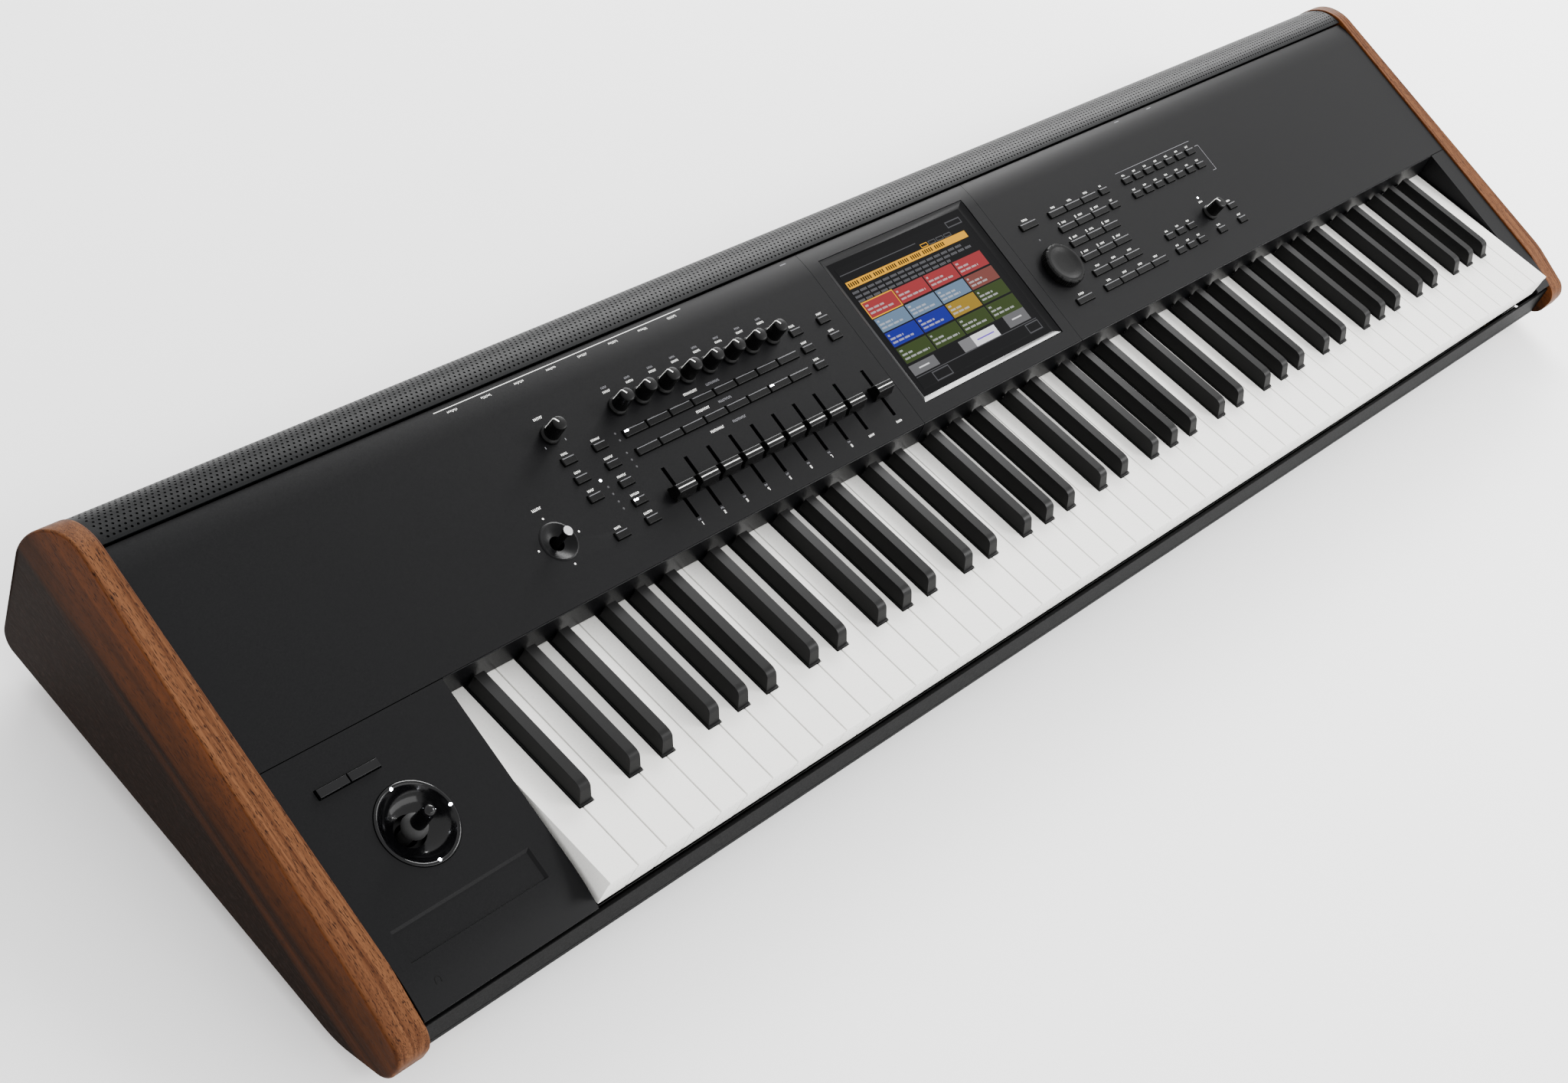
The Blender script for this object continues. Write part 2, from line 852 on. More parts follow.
def install(piece: Piece, body: str, slot: Slot,
            replaced: Sequence[str] = ()) -> Piece:
    """Puts a finished piece on its body.

    Args:
        piece: The piece.
        body: Name of the CAD body that it moves with.
        slot: The record's material slot that it takes its finish from.
        replaced: CAD nodes that it stands for.

    Returns:
        The piece.
    """
    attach(piece, body)
    if replaced:
        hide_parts(*replaced)
    LOG.info("%s on %s: %d faces", piece.name, body, len(piece.data.polygons))
    return piece


# ---------------------------------------------------------------- keyboard


@dataclass(frozen=True)
class Keyboard:
    """The 88 keys: separate white and black caps on the bodies of the CAD's six key nodes."""

    white_depth: float = 22.4
    notch_y: float = 48.0
    slot_half: float = 6.2
    tail_end: float = 187.0
    web: tuple[float, float] = (186.0, 212.0)
    single: int = 23
    shifts: dict[str, float] = field(
        default_factory=lambda: {"C": -2.35, "D": 2.35, "F": -3.36, "G": 0.0, "A": 3.36}
    )

    def note(self, white: int) -> str:
        """Letter of a white key, counted from the lowest."""
        return "CDEFGAB"[(white + 5) % 7]

    def shift(self, white: int) -> float | None:
        """Offset of the black key right of this white key, or None where there is none.

        Args:
            white: Number of the white key, 0 at the left.

        Returns:
            Millimetres to the right, or None.
        """
        if not 0 <= white < WHITE_COUNT - 1:
            return None
        return self.shifts.get(self.note(white))

    def white_outline(self, white: int) -> list[Flat]:
        """Top view of one white key, front edge at y = 0.

        Args:
            white: Number of the white key, 0 at the left.

        Returns:
            The outline's points.
        """
        left = white * KEY_PITCH + KEY_GAP / 2
        right = (white + 1) * KEY_PITCH - KEY_GAP / 2
        after, before = self.shift(white), self.shift(white - 1)
        outline: list[Flat] = [(left, 0.0), (right, 0.0)]
        if after is not None:
            tail = (white + 1) * KEY_PITCH + after - self.slot_half
            outline += [(right, self.notch_y), (tail, self.notch_y), (tail, self.tail_end)]
        else:
            outline.append((right, self.tail_end))
        if before is not None:
            tail = white * KEY_PITCH + before + self.slot_half
            outline += [(tail, self.tail_end), (tail, self.notch_y), (left, self.notch_y)]
        else:
            outline.append((left, self.tail_end))
        return outline

    def white_key(self, shape: Shape, white: int) -> None:
        """Adds a white key: a top slab with a small lip, over a front that leans back.

        Args:
            shape: Where it goes.
            white: Number of the white key, 0 at the left.
        """
        levels = ((0.0, 0.0), (-2.4, 0.0), (-2.9, 0.35), (-self.white_depth, 1.5))
        outline = self.white_outline(white)
        rings = []
        for z, lean in levels:
            rings.append([(x, lean if y == 0.0 else y, z) for x, y in outline])
        shape.loft(rings)

    def black_key(self, shape: Shape, white: int) -> None:
        """Adds a black key: a steep front, a flat top, sloping sides and a thin skirt.

        Args:
            shape: Where it goes.
            white: Number of the white key left of it.
        """
        side = (
            (49.6, 0.6, 5.0), (52.9, 8.2, 4.45), (53.7, 9.7, 4.35), (55.2, 10.9, 4.25),
            (57.2, 11.6, 4.2), (60.0, 11.9, 4.15), (149.3, 11.9, 4.15), (150.3, 0.6, 5.0),
        )
        middle = (white + 1) * KEY_PITCH + (self.shift(white) or 0.0)
        shape.loft([[(middle + sign * half, y, z) for y, z, half in side] for sign in (-1, 1)])
        skirt = rounded_box(middle, 99.6, 11.4, 102.4, 0.8)
        shape.prism(skirt, -15.5, 0.9, along_z)

    def black_hinge(self, shape: Shape, white: int) -> None:
        """Adds the low stem that runs back under the front flange to the hinge bar.

        Args:
            shape: Where it goes.
            white: Number of the white key left of it.
        """
        middle = (white + 1) * KEY_PITCH + (self.shift(white) or 0.0)
        stem = [(148.0, -15.0), (172.0, -15.0), (172.0, 8.0), (158.5, 8.0), (158.5, -3.2),
                (148.0, -3.2)]
        shape.prism(stem, middle - 5.0, middle + 5.0, along_x)

    def install_whites(self, node: str, first: int, last: int) -> None:
        """Makes the white keys from first to last on one body.

        Args:
            node: The CAD node and its body.
            first: First white key.
            last: Last white key.
        """
        shape = Shape()
        for white in range(first, last + 1):
            self.white_key(shape, white)
        start = self.white_outline(first)[-1][0]
        end = max(x for x, y in self.white_outline(last) if y == self.tail_end)
        shape.prism(box_outline((start + end) / 2, sum(self.web) / 2, end - start - 1,
                                self.web[1] - self.web[0] - 0.4), -22.0, -0.4, along_z)
        piece = shape.object(f"{node}_caps", [WHITE_ACRYLIC])
        install(soften(piece, 0.55, 3), node, Slot.WHITE_KEY, [node])

    def install_blacks(self, node: str, first: int, last: int) -> None:
        """Makes the black keys right of white keys first to last on one body.

        Args:
            node: The CAD node and its body.
            first: First white key.
            last: Last white key.
        """
        shape = Shape()
        low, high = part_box(node)
        start = (low[0] - ORIGIN.x) / MM
        end = (high[0] - ORIGIN.x) / MM
        bar = [(160.0, 3.9), (160.0, 8.7), (211.5, 8.7), (211.5, 3.9)]
        shape.prism(bar, start + 0.2, end - 0.2, along_x)
        for white in range(first, last + 1):
            if self.shift(white) is not None:
                self.black_key(shape, white)
                self.black_hinge(shape, white)
        piece = shape.object(f"{node}_caps", [BLACK_PHENOLIC])
        install(soften(piece, 0.45, 2), node, Slot.BLACK_KEY, [node])

    def build(self) -> None:
        """Makes all 88 keys."""
        last = WHITE_COUNT - 1
        self.install_whites("white_keys_low", 0, self.single - 1)
        self.install_whites("white_key_middle_c", self.single, self.single)
        self.install_whites("white_keys_high", self.single + 1, last)
        self.install_blacks("black_keys_low", 0, self.single - 1)
        self.install_blacks("black_key_middle_c_sharp", self.single, self.single)
        self.install_blacks("black_keys_high", self.single + 1, last - 1)


# ---------------------------------------------------------------- body


@dataclass(frozen=True)
class Cheeks:
    """The two wooden end boards, bow-nosed at the front, leaning in towards the top."""

    thickness: float = 23.0
    lean: float = 9.0
    round_over: float = 1.8
    nose_round: float = 2.6

    def outline(self) -> list[Flat]:
        """Side view as (y, z).

        Returns:
            The outline's points.
        """
        rise = math.tan(SLOPE)
        top_front = SEAM_Z - (SEAM_Y - 30.0) * rise + 1.5
        top_back = SEAM_Z + (346.0 - SEAM_Y) * rise + 1.5
        return rounded(
            [(346.0, top_back, 36.0), (30.0, top_front, 80.0), (-13.0, -24.0, 14.0),
             (-9.0, -50.0, 14.0), (30.0, -63.0, 60.0), (343.0, -49.0, 12.0)],
            math.radians(3),
        )

    def ring(self, inner: float, outward: int, depth: float, inset: float) -> list[Point]:
        """The outline at one depth in the board, drawn in by a share of its local rounding.

        Args:
            inner: X of the inner face.
            outward: Direction of the outer face.
            depth: Distance from the inner face, or less than 0 for the outer rounding.
            inset: How far the outline is drawn in; with a negative depth, the rounding's angle.

        Returns:
            The ring's points.
        """
        outline = self.outline()
        middle = Vector((165.0, -8.0))
        ring = []
        for i, (y, z) in enumerate(outline):
            before, after = Vector(outline[i - 1]), Vector(outline[(i + 1) % len(outline)])
            along = (after - before).normalized()
            normal = Vector((along.y, -along.x))
            if normal.dot(Vector((y, z)) - middle) > 0:
                normal.negate()
            share = min(1.0, max(0.0, (70.0 - y) / 70.0))
            radius = self.round_over + (self.nose_round - self.round_over) * share * share
            if depth < 0:
                reach = self.thickness - radius * (1 - math.sin(inset))
                draw = radius * (1 - math.cos(inset))
            else:
                reach, draw = depth, inset
            leaning = self.lean * max(0.0, (z - 14.0) / 47.5) ** 2
            share = min(1.0, max(0.0, (reach - 1.0) / (self.thickness - 6.0)))
            x = inner + outward * (reach - leaning * share)
            ring.append((x, y + normal.x * draw, z + normal.y * draw))
        return ring

    def build(self) -> None:
        """Makes both boards."""
        for name, inner, outward in (("left", INNER_LEFT, -1), ("right", INNER_RIGHT, 1)):
            steps = [(0.0, 0.7), (0.2, 0.25), (0.7, 0.0), (6.0, 0.0), (11.0, 0.0)]
            steps += [(-1.0, math.radians(15 * k)) for k in range(7)]
            rings = [self.ring(inner, outward, depth, inset) for depth, inset in steps]
            piece = Shape().loft(rings).object(f"{name}_cheek_board", [CHEEK_WOOD])
            install(smooth(piece, 40), Body.CASE.value, Slot.WOOD, [f"{name}_cheek"])


@dataclass(frozen=True)
class TopPanels:
    """The three sheet panels of the control surface, with a soft roll down at the rear."""

    steps: int = 7

    def build(self) -> None:
        """Copies each CAD panel and rolls its rear edge."""
        for node in ("left_top_panel", "display_panel", "right_top_panel"):
            piece = copied(node, f"{node}_sheet", POWDER, self.roll)
            install(smooth(piece, 25), Body.CASE.value, Slot.METAL, [node])

    def roll(self, build: bmesh.types.BMesh) -> None:
        """Splits the sheet across the roll and lowers it along a parabola.

        Args:
            build: The sheet's mesh.
        """
        start = world(on_panel(0.0, 0.0, 0.0))
        along = Vector((0.0, math.cos(SLOPE), math.sin(SLOPE)))
        normal = Vector((0.0, -math.sin(SLOPE), math.cos(SLOPE)))
        length = PANEL_LENGTH - ROLL_START
        for k in range(self.steps):
            s = ROLL_START + length * k / self.steps
            geometry = build.verts[:] + build.edges[:] + build.faces[:]
            bmesh.ops.bisect_plane(
                build, geom=geometry, plane_co=start + along * s * MM, plane_no=along, dist=1e-7
            )
        for vertex in build.verts:
            s = (vertex.co - start).dot(along) / MM
            share = max(0.0, (s - ROLL_START) / length)
            vertex.co -= normal * ROLL_DROP * share * share * MM


@dataclass(frozen=True)
class EndBlocks:
    """The covers left and right of the keys, which curve down to the front rail."""

    bend_y: float = 28.0
    lip_y: float = -2.0
    bend_end: float = math.radians(26.0)
    steps: int = 16
    clear: float = 3.0
    mark_y: float = 12.0
    ribbon: tuple[float, float, float, float] = (-72.0, -120.0, 102.5, 20.5)

    def curve(self, offset: float) -> list[Flat]:
        """(y, z) along the cover, offset square to it, from the rear seam to the lip.

        Args:
            offset: Distance out from the cover's outer face.

        Returns:
            The curve's points.
        """
        start = -(SEAM_Y - self.bend_y) / math.cos(SLOPE)
        radius = (self.bend_y - self.lip_y) / (math.sin(self.bend_end) - math.sin(SLOPE))
        _, y, z = on_panel(0.0, start, 0.0)
        middle = (y + radius * math.sin(SLOPE), z - radius * math.cos(SLOPE))
        points = [on_panel(0.0, -0.4, offset)[1:]]
        for k in range(self.steps + 1):
            angle = SLOPE + (self.bend_end - SLOPE) * k / self.steps
            reach = radius + offset
            points.append((middle[0] - reach * math.sin(angle), middle[1] + reach * math.cos(angle)))
        return points

    def cover(self, name: str, x0: float, x1: float, wall: int) -> Piece:
        """Makes one hollow cover.

        Args:
            name: The piece's name.
            x0: Its left side.
            x1: Its right side.
            wall: Side that has a wall next to the keys, -1 or 1.

        Returns:
            The piece.
        """
        top = self.curve(0.0)
        front = top[-1]
        outline = top + [(front[0] + 0.3, front[1] - 1.8), (0.5, front[1] - 2.2), (0.5, -30.0)]
        outline.append((top[0][0], -30.0))
        piece = Shape().prism(outline, x0, x1, along_x).object(name, [POWDER])
        under = self.curve(-PLATE)
        hollow = [(top[0][0] + 5, under[0][1] + 1.2), *under[:-2], (3.0, under[-3][1] - 1.5)]
        hollow += [(3.0, -40.0), (top[0][0] + 5, -40.0)]
        low = x0 + PLATE if wall < 0 else x0 - 5
        high = x1 - PLATE if wall > 0 else x1 + 5
        cut(piece, [Shape().prism(hollow, low, high, along_x)])
        return piece

    def ribbon_recess(self) -> Shape:
        """The shallow recess of the touch strip, with one long side bevelled.

        Returns:
            The shape to cut out.
        """
        x, s, width, depth = self.ribbon
        top = box_outline(x, s, width, depth)
        floor = [
            (top[0][0] + 0.3, top[0][1] + 0.6), (top[1][0] - 2.2, top[1][1] + 0.6),
            (top[2][0] - 2.2, top[2][1] - 1.8), (top[3][0] + 0.3, top[3][1] - 1.8),
        ]
        above = [(u, v) for u, v in top]
        rings = [
            [on_panel(u, v, -1.2) for u, v in floor],
            [on_panel(u, v, 0.0) for u, v in top],
            [on_panel(u, v, 3.0) for u, v in above],
        ]
        return Shape().loft(rings)

    def build(self) -> None:
        """Makes both covers and the touch strip."""
        left = self.cover("joystick_cover", INNER_LEFT + 0.5, -self.clear, 1)
        window = box_outline(-91.5, SWITCH_S, 44.4, 6.6)
        hole = Shape().turned([(26.3, -6.0), (26.3, 3.0)], 96, panel_at(*JOYSTICK))
        cut(left, [hole, Shape().prism(window, -8.0, 3.0, on_panel), self.ribbon_recess()])
        install(smooth(left, 20), Body.CASE.value, Slot.METAL, ["joystick_panel"])
        right = self.cover("right_cover", KEYS_WIDTH + 2.6, INNER_RIGHT - 0.4, -1)
        install(smooth(right, 20), Body.CASE.value, Slot.METAL, ["right_key_block"])
        self.headphone_mark()

    def headphone_mark(self) -> None:
        """Moulded pictogram of headphones on the curved front, as a thin raised line."""
        curve = self.curve(0.0)
        shape = Shape()

        def on_curve(x: float, along: float, lift: float) -> Point:
            """A place on the curved front, lifted off it."""
            y = self.mark_y + along
            return (x, y - 0.3 * lift, float(np.interp(y, *zip(*curve[::-1]))) + lift)

        for k in range(10):
            a0, a1 = (math.radians(200 - 22 * n) for n in (k, k + 1))
            quad = [
                (-115.0 + r * math.cos(a), r * math.sin(a))
                for r, a in ((1.8, a0), (1.8, a1), (2.1, a1), (2.1, a0))
            ]
            shape.prism(quad, -0.05, 0.12, on_curve)
        for side in (-1, 1):
            cup = box_outline(-115.0 + side * 1.85, -1.1, 0.7, 1.3)
            shape.prism(cup, -0.05, 0.12, on_curve)
        piece = shape.object("headphone_mark", [BUTTON_PLASTIC])
        install(piece, Body.CASE.value, Slot.METAL)


@dataclass(frozen=True)
class FrontWork:
    """The pressed rail below the key fronts and the flanges above the keys."""

    rail_y: float = -3.0
    rail_top: float = -23.3
    rail_radius: float = 10.0
    steps: int = 14
    seams: tuple[float, float] = (LEFT_SEAM_X, RIGHT_SEAM_X)

    def rail(self) -> None:
        """Makes the rail with its rolled lower edge and a fine swage line."""
        outer: list[Flat] = [(-1.0, self.rail_top), (self.rail_y + 0.5, self.rail_top)]
        outer.append((self.rail_y, self.rail_top - 0.5))
        outer += [(self.rail_y, -46.6), (self.rail_y + 0.35, -46.9), (self.rail_y, -47.2)]
        inner: list[Flat] = []
        for k in range(self.steps + 1):
            angle = math.pi + math.pi / 2 * k / self.steps
            for points, reach in ((outer, self.rail_radius), (inner, self.rail_radius - 2.0)):
                points.append((
                    self.rail_y + self.rail_radius + reach * math.cos(angle),
                    FLOOR_Z + self.rail_radius + reach * math.sin(angle),
                ))
        foot = [(12.0, FLOOR_Z), (12.0, FLOOR_Z + 2.0)]
        outline = outer + foot + inner[::-1]
        piece = Shape().prism(outline, INNER_LEFT + 0.5, INNER_RIGHT - 0.4, along_x)
        made = piece.object("front_rail_pressing", [RAIL_COAT])
        install(smooth(made, 25), Body.CASE.value, Slot.METAL, ["front_rail"])

    def flanges(self) -> None:
        """Makes the three flanges that turn down from the panels' front edges."""
        shape = Shape()
        edges = [-2.7, self.seams[0], self.seams[1], KEYS_WIDTH + 2.2]
        profile = rounded(
            [(152.0, 0.9, 0.5), (154.3, 0.9, 0.5), (154.3, 17.0, 0.4), (152.6, 19.4, 0.3),
             (152.6, 22.2, 0.2), (152.0, 22.3, 0.5)],
            math.radians(30),
        )
        for x0, x1 in zip(edges, edges[1:]):
            shape.prism(profile, x0 + 0.35, x1 - 0.35, along_x)
        piece = shape.object("front_flanges", [POWDER])
        install(smooth(piece, 40), Body.CASE.value, Slot.METAL, ["fallboard"])
        felt = Shape().prism([(154.5, -0.4), (157.5, -0.4), (157.5, 2.6), (154.5, 2.6)], 1.0,
                             KEYS_WIDTH - 1.0, along_x)
        strip = felt.object("key_felt", [FELT])
        install(soften(strip, 0.8), Body.CASE.value, Slot.METAL)

    def build(self) -> None:
        """Makes the rail and the flanges."""
        self.rail()
        self.flanges()


@dataclass(frozen=True)
class Grille:
    """The quarter-round perforated sheet behind the panels.

    The holes are drawn 4 mm apart, a little coarser than real, in staggered rows.
    """

    sheet: float = 1.5
    pitch: float = 4.0
    step: float = 3.4
    columns: int = 345
    rows: int = 15
    hole: float = 0.9
    first_row: float = 3.6
    start: float = math.radians(101.0)
    skirt_z: float = 18.2

    def bend(self, x: float, along: float, w: float) -> Point:
        """Wraps a flat sheet round the arc; along is counted from the front edge.

        Args:
            x: X of the point.
            along: Distance along the arc.
            w: Distance out from the arc.

        Returns:
            The point.
        """
        angle = self.start - along / GRILLE_RADIUS
        radius = GRILLE_RADIUS + w
        return (x, GRILLE_Y + radius * math.cos(angle), GRILLE_Z + radius * math.sin(angle))

    def cell(self) -> Piece:
        """One hexagonal hole in its piece of sheet, without outer walls.

        Returns:
            The cell.
        """
        half_p, half_s = self.pitch / 2, self.step / 2
        outer = [(-half_p, -half_s), (0, -half_s), (half_p, -half_s), (half_p, half_s),
                 (0, half_s), (-half_p, half_s)]
        inner = []
        for degrees in (-150, -90, -30, 30, 90, 150):
            angle = math.radians(degrees)
            inner.append((self.hole * math.cos(angle), self.hole * math.sin(angle)))
        loops = ((outer, 0.0), (inner, 0.0), (inner, -self.sheet), (outer, -self.sheet))
        points = [Vector((u, v, w)) * MM for loop, w in loops for u, v in loop]
        faces = []
        for r in range(3):
            for i in range(6):
                j = (i + 1) % 6
                faces.append((r * 6 + i, r * 6 + j, r * 6 + 6 + j, r * 6 + 6 + i))
        mesh = bpy.data.meshes.new("grille_cell")
        mesh.from_pydata(points, [], faces)
        return linked("grille_cell", mesh)

    def tree(self) -> Tree:
        """Geometry Nodes that repeat a cell in staggered rows and weld the copies.

        Returns:
            The tree.
        """
        inputs = {"Cell": "Geometry", "Columns": "Int", "Rows": "Int", "Pitch": "Float",
                  "Row Step": "Float", "Finish": "Material"}
        tree, given = repeater("staggered_perforation", inputs, "Sheet")

        def calculate(operation: str, first: Socket, second: Socket | float) -> Socket:
            """The result of one sum."""
            return add_node(
                tree, "ShaderNodeMath", {0: first, 1: second}, operation=operation
            ).outputs[0]

        width = calculate("MULTIPLY", calculate("SUBTRACT", given["Columns"], 1), given["Pitch"])
        depth = calculate("MULTIPLY", calculate("SUBTRACT", given["Rows"], 1), given["Row Step"])
        grid = add_node(
            tree, "GeometryNodeMeshGrid",
            {"Size X": width, "Size Y": depth, "Vertices X": given["Columns"],
             "Vertices Y": given["Rows"]},
        ).outputs["Mesh"]
        place = add_node(tree, "GeometryNodeInputPosition").outputs[0]
        across = add_node(tree, "ShaderNodeSeparateXYZ", {0: place}).outputs["Y"]
        half_depth = calculate("DIVIDE", depth, 2.0)
        number = calculate("DIVIDE", calculate("ADD", across, half_depth), given["Row Step"])
        odd = calculate("MODULO", calculate("ROUND", number, 0.0), 2.0)
        shift = calculate("MULTIPLY", odd, calculate("DIVIDE", given["Pitch"], 2.0))
        offset = add_node(tree, "ShaderNodeCombineXYZ", {"X": shift}).outputs[0]
        moved = add_node(
            tree, "GeometryNodeSetPosition", {"Geometry": grid, "Offset": offset}
        ).outputs[0]
        copies = add_node(
            tree, "GeometryNodeInstanceOnPoints", {"Points": moved, "Instance": given["Cell"]}
        ).outputs[0]
        real = add_node(tree, "GeometryNodeRealizeInstances", {"Geometry": copies}).outputs[0]
        welded = add_node(
            tree, "GeometryNodeMergeByDistance", {"Geometry": real, "Distance": 0.02 * MM}
        ).outputs[0]
        dressed = add_node(
            tree, "GeometryNodeSetMaterial", {"Geometry": welded, "Material": given["Finish"]}
        ).outputs[0]
        add_node(tree, "NodeGroupOutput", {"Sheet": dressed})
        return tree

    def build(self) -> None:
        """Makes the perforated field, bends it, closes its rim and adds the plain margins."""
        piece = self.cell()
        piece.name = "vent_grille_sheet"
        repeat(piece, self.tree(), {
            "Columns": self.columns, "Rows": self.rows, "Pitch": self.pitch * MM,
            "Row Step": self.step * MM, "Finish": PERFORATED.material(),
        })
        piece.data.materials.clear()
        piece.data.materials.append(PERFORATED.material())
        build = bmesh.new()
        build.from_mesh(piece.data)
        for face in build.faces:
            face.material_index = 0
        rim = [edge for edge in build.edges if edge.is_boundary]
        bmesh.ops.bridge_loops(build, edges=rim)
        middle_x = (INNER_LEFT + INNER_RIGHT) / 2 - self.pitch / 4
        middle_s = self.first_row + (self.rows - 1) * self.step / 2
        for vertex in build.verts:
            u, v, w = vertex.co / MM
            vertex.co = world(self.bend(middle_x + u, middle_s + v, w))
        margins = self.margins()
        start = len(build.verts)
        for point in margins.points:
            build.verts.new(world(point))
        build.verts.ensure_lookup_table()
        for one in margins.faces:
            build.faces.new([build.verts[start + i] for i in one])
        bmesh.ops.recalc_face_normals(build, faces=build.faces)
        build.to_mesh(piece.data)
        build.free()
        install(smooth(piece, 40), Body.CASE.value, Slot.METAL, ["vent_grille"])

    def margins(self) -> Shape:
        """Plain strips along the front, the rear and both ends of the field.

        Returns:
            The strips.
        """
        shape = Shape()
        left, right = INNER_LEFT + 0.5, INNER_RIGHT - 0.5
        field_end = self.first_row + (self.rows - 0.5) * self.step
        arc_end = self.start * GRILLE_RADIUS
        self.band(shape, left, right, 0.0, self.first_row - self.step / 2 + 0.05, 0.0)
        self.band(shape, left, right, field_end - 0.05, arc_end, 0.0)
        self.band(shape, left, left + 3.2, 0.0, arc_end, 0.06)
        self.band(shape, right - 3.4, right, 0.0, arc_end, 0.06)
        y = GRILLE_Y + GRILLE_RADIUS
        skirt = [(y, GRILLE_Z + 0.1), (y, self.skirt_z), (y - self.sheet, self.skirt_z),
                 (y - self.sheet, GRILLE_Z + 0.1)]
        shape.prism(skirt, left, right, along_x)
        return shape

    def band(self, shape: Shape, x0: float, x1: float, along0: float, along1: float,
             proud: float) -> None:
        """Adds a bent strip between two places along the arc.

        Args:
            shape: Where it goes.
            x0: Its left side.
            x1: Its right side.
            along0: Where it starts along the arc.
            along1: Where it ends.
            proud: How far it stands out past both faces of the sheet.
        """
        count = max(2, round((along1 - along0) / 2.5))
        places = [along0 + (along1 - along0) * k / count for k in range(count + 1)]
        outline = [self.bend(0.0, place, proud)[1:] for place in places]
        outline += [self.bend(0.0, place, -self.sheet - proud)[1:] for place in places[::-1]]
        shape.prism(outline, x0, x1, along_x)


# ---------------------------------------------------------------- controls


@dataclass(frozen=True)
class Row:
    """A row of push buttons: middle of the first, size, number and spacing."""

    x: float
    s: float
    width: float
    depth: float
    count: int = 1
    pitch: float = 0.0

    def places(self) -> list[float]:
        """X of each button's middle."""
        return [self.x + k * self.pitch for k in range(self.count)]


@dataclass(frozen=True)
class Buttons:
    """The push buttons, three moulded sets of caps on hidden webs."""

    rise: float = 1.5
    web_top: float = -5.0
    web_thick: float = 1.6
    small: Flat = (11.6, 5.4)
    wide: Flat = (21.3, 5.6)
    lit: tuple[Flat, ...] = ((229.7, 4), (360.3, 3), (SECOND_COLUMN_X, 1))

    def rows(self) -> dict[str, list[Row]]:
        """All rows, by the body that they move with.

        Returns:
            The rows of each body.
        """
        small, wide = self.small, self.wide
        left = [Row(LEFT_COLUMN_X, row(i), *small) for i in (0, 2, 3, 4)]
        left += [Row(SECOND_COLUMN_X, row(i), *small) for i in range(5)]
        mixer = [Row(KNOB_FIRST_X + 0.3, row(i), 20.6, 5.6, 8, KNOB_PITCH) for i in (3, 4)]
        mixer += [Row(MASTER_X + 0.9, row(i), *small) for i in (3, 4, 5)]
        mixer += [Row(VALUE_X, row(i), *small) for i in (4, 5)]
        right = [Row(DIAL_X, row(i), *wide) for i in (0, 5)]
        right += [Row(DIGITS_X, row(i), *wide, 3, DIGITS_PITCH) for i in range(1, 6)]
        right += [Row(DIGITS_X, row(0), *wide, 4, TOP_ROW_PITCH)]
        right += [Row(MODE_X, row(i), *small) for i in (4, 5)]
        right += [Row(SEQUENCE_X, row(i), *small, 7, SEQUENCE_PITCH) for i in (4, 5)]
        right += [Row(TRANSPORT_X, row(i), *small, 3, TRANSPORT_PITCH) for i in (0, 1)]
        right += [Row(TEMPO[0], row(0), *small), Row(TAP_X, row(0), *small)]
        right += [Row(TAP_X, row(1), *small)]
        return {"left_buttons": left, "mixer_buttons": mixer, "right_buttons": right}

    def webs(self) -> dict[str, list[Flat]]:
        """Outlines of the hidden webs, in panel coordinates.

        Returns:
            Each web's outline.
        """
        return {
            "left_buttons": [(162, 22), (205, 22), (205, 91), (162, 91)],
            "mixer_buttons": [
                (217.5, 66), (442, 66), (442, 105), (397.5, 105), (397.5, 91), (217.5, 91)
            ],
            "right_buttons": [
                (673, 22), (928, 22), (928, 48), (912, 48), (912, 34), (866, 34), (866, 48),
                (804, 48), (804, 80), (929, 80), (929, 106), (673, 106), (673, 95), (710, 95),
                (710, 33), (673, 33),
            ],
        }

    def cap(self, shape: Shape, x: float, s: float, width: float, depth: float) -> None:
        """Adds a cap: draughted sides, rounded edges and a slightly dished top.

        Args:
            shape: Where it goes.
            x: X of its middle.
            s: Slope distance of its middle.
            width: Size along X.
            depth: Size up the slope.
        """
        levels = (
            (self.web_top - 0.2, 0.0), (0.6, 0.0), (1.1, 0.08), (1.4, 0.3), (self.rise, 0.65),
            (self.rise - 0.12, 1.2),
        )
        rings = []
        for h, inset in levels:
            outline = rounded_box(x, s, width - 2 * inset, depth - 2 * inset,
                                  max(0.25, 0.7 - inset * 0.5))
            rings.append([on_panel(u, v, h) for u, v in outline])
        shape.loft(rings)

    def window(self, shape: Shape, x: float, one: Row) -> None:
        """Adds the light window along a cap's rear edge, with the lit end of a lit one.

        Args:
            shape: Where it goes.
            x: X of the cap's middle.
            one: The cap's row.
        """
        s = one.s + one.depth / 2 - 0.85
        width = one.width - 2.2
        top = self.rise + 0.03
        shape.prism(box_outline(x, s, width, 0.3), self.rise - 0.3, top, on_panel, 1)
        if self.is_lit(x, one.s):
            spot = min(width, 3.6)
            lit = box_outline(x - (width - spot) / 2, s - 0.5, spot, 1.2)
            shape.prism(lit, self.rise - 0.35, top + 0.02, on_panel, 2)

    def is_lit(self, x: float, s: float) -> bool:
        """Whether the button at this place is lit."""
        return any(abs(x - px) < 1.5 and abs(s - row(int(r))) < 1 for px, r in self.lit)

    def build(self) -> None:
        """Makes the three sets."""
        for node, rows in self.rows().items():
            shape = Shape()
            shape.prism(self.webs()[node], self.web_top - self.web_thick, self.web_top, on_panel)
            for one in rows:
                for x in one.places():
                    self.cap(shape, x, one.s, one.width, one.depth)
                    self.window(shape, x, one)
            piece = shape.object(f"{node}_caps", [BUTTON_PLASTIC, DIM_INK, LED])
            install(smooth(piece, 40), node, Slot.CONTROL, [node])


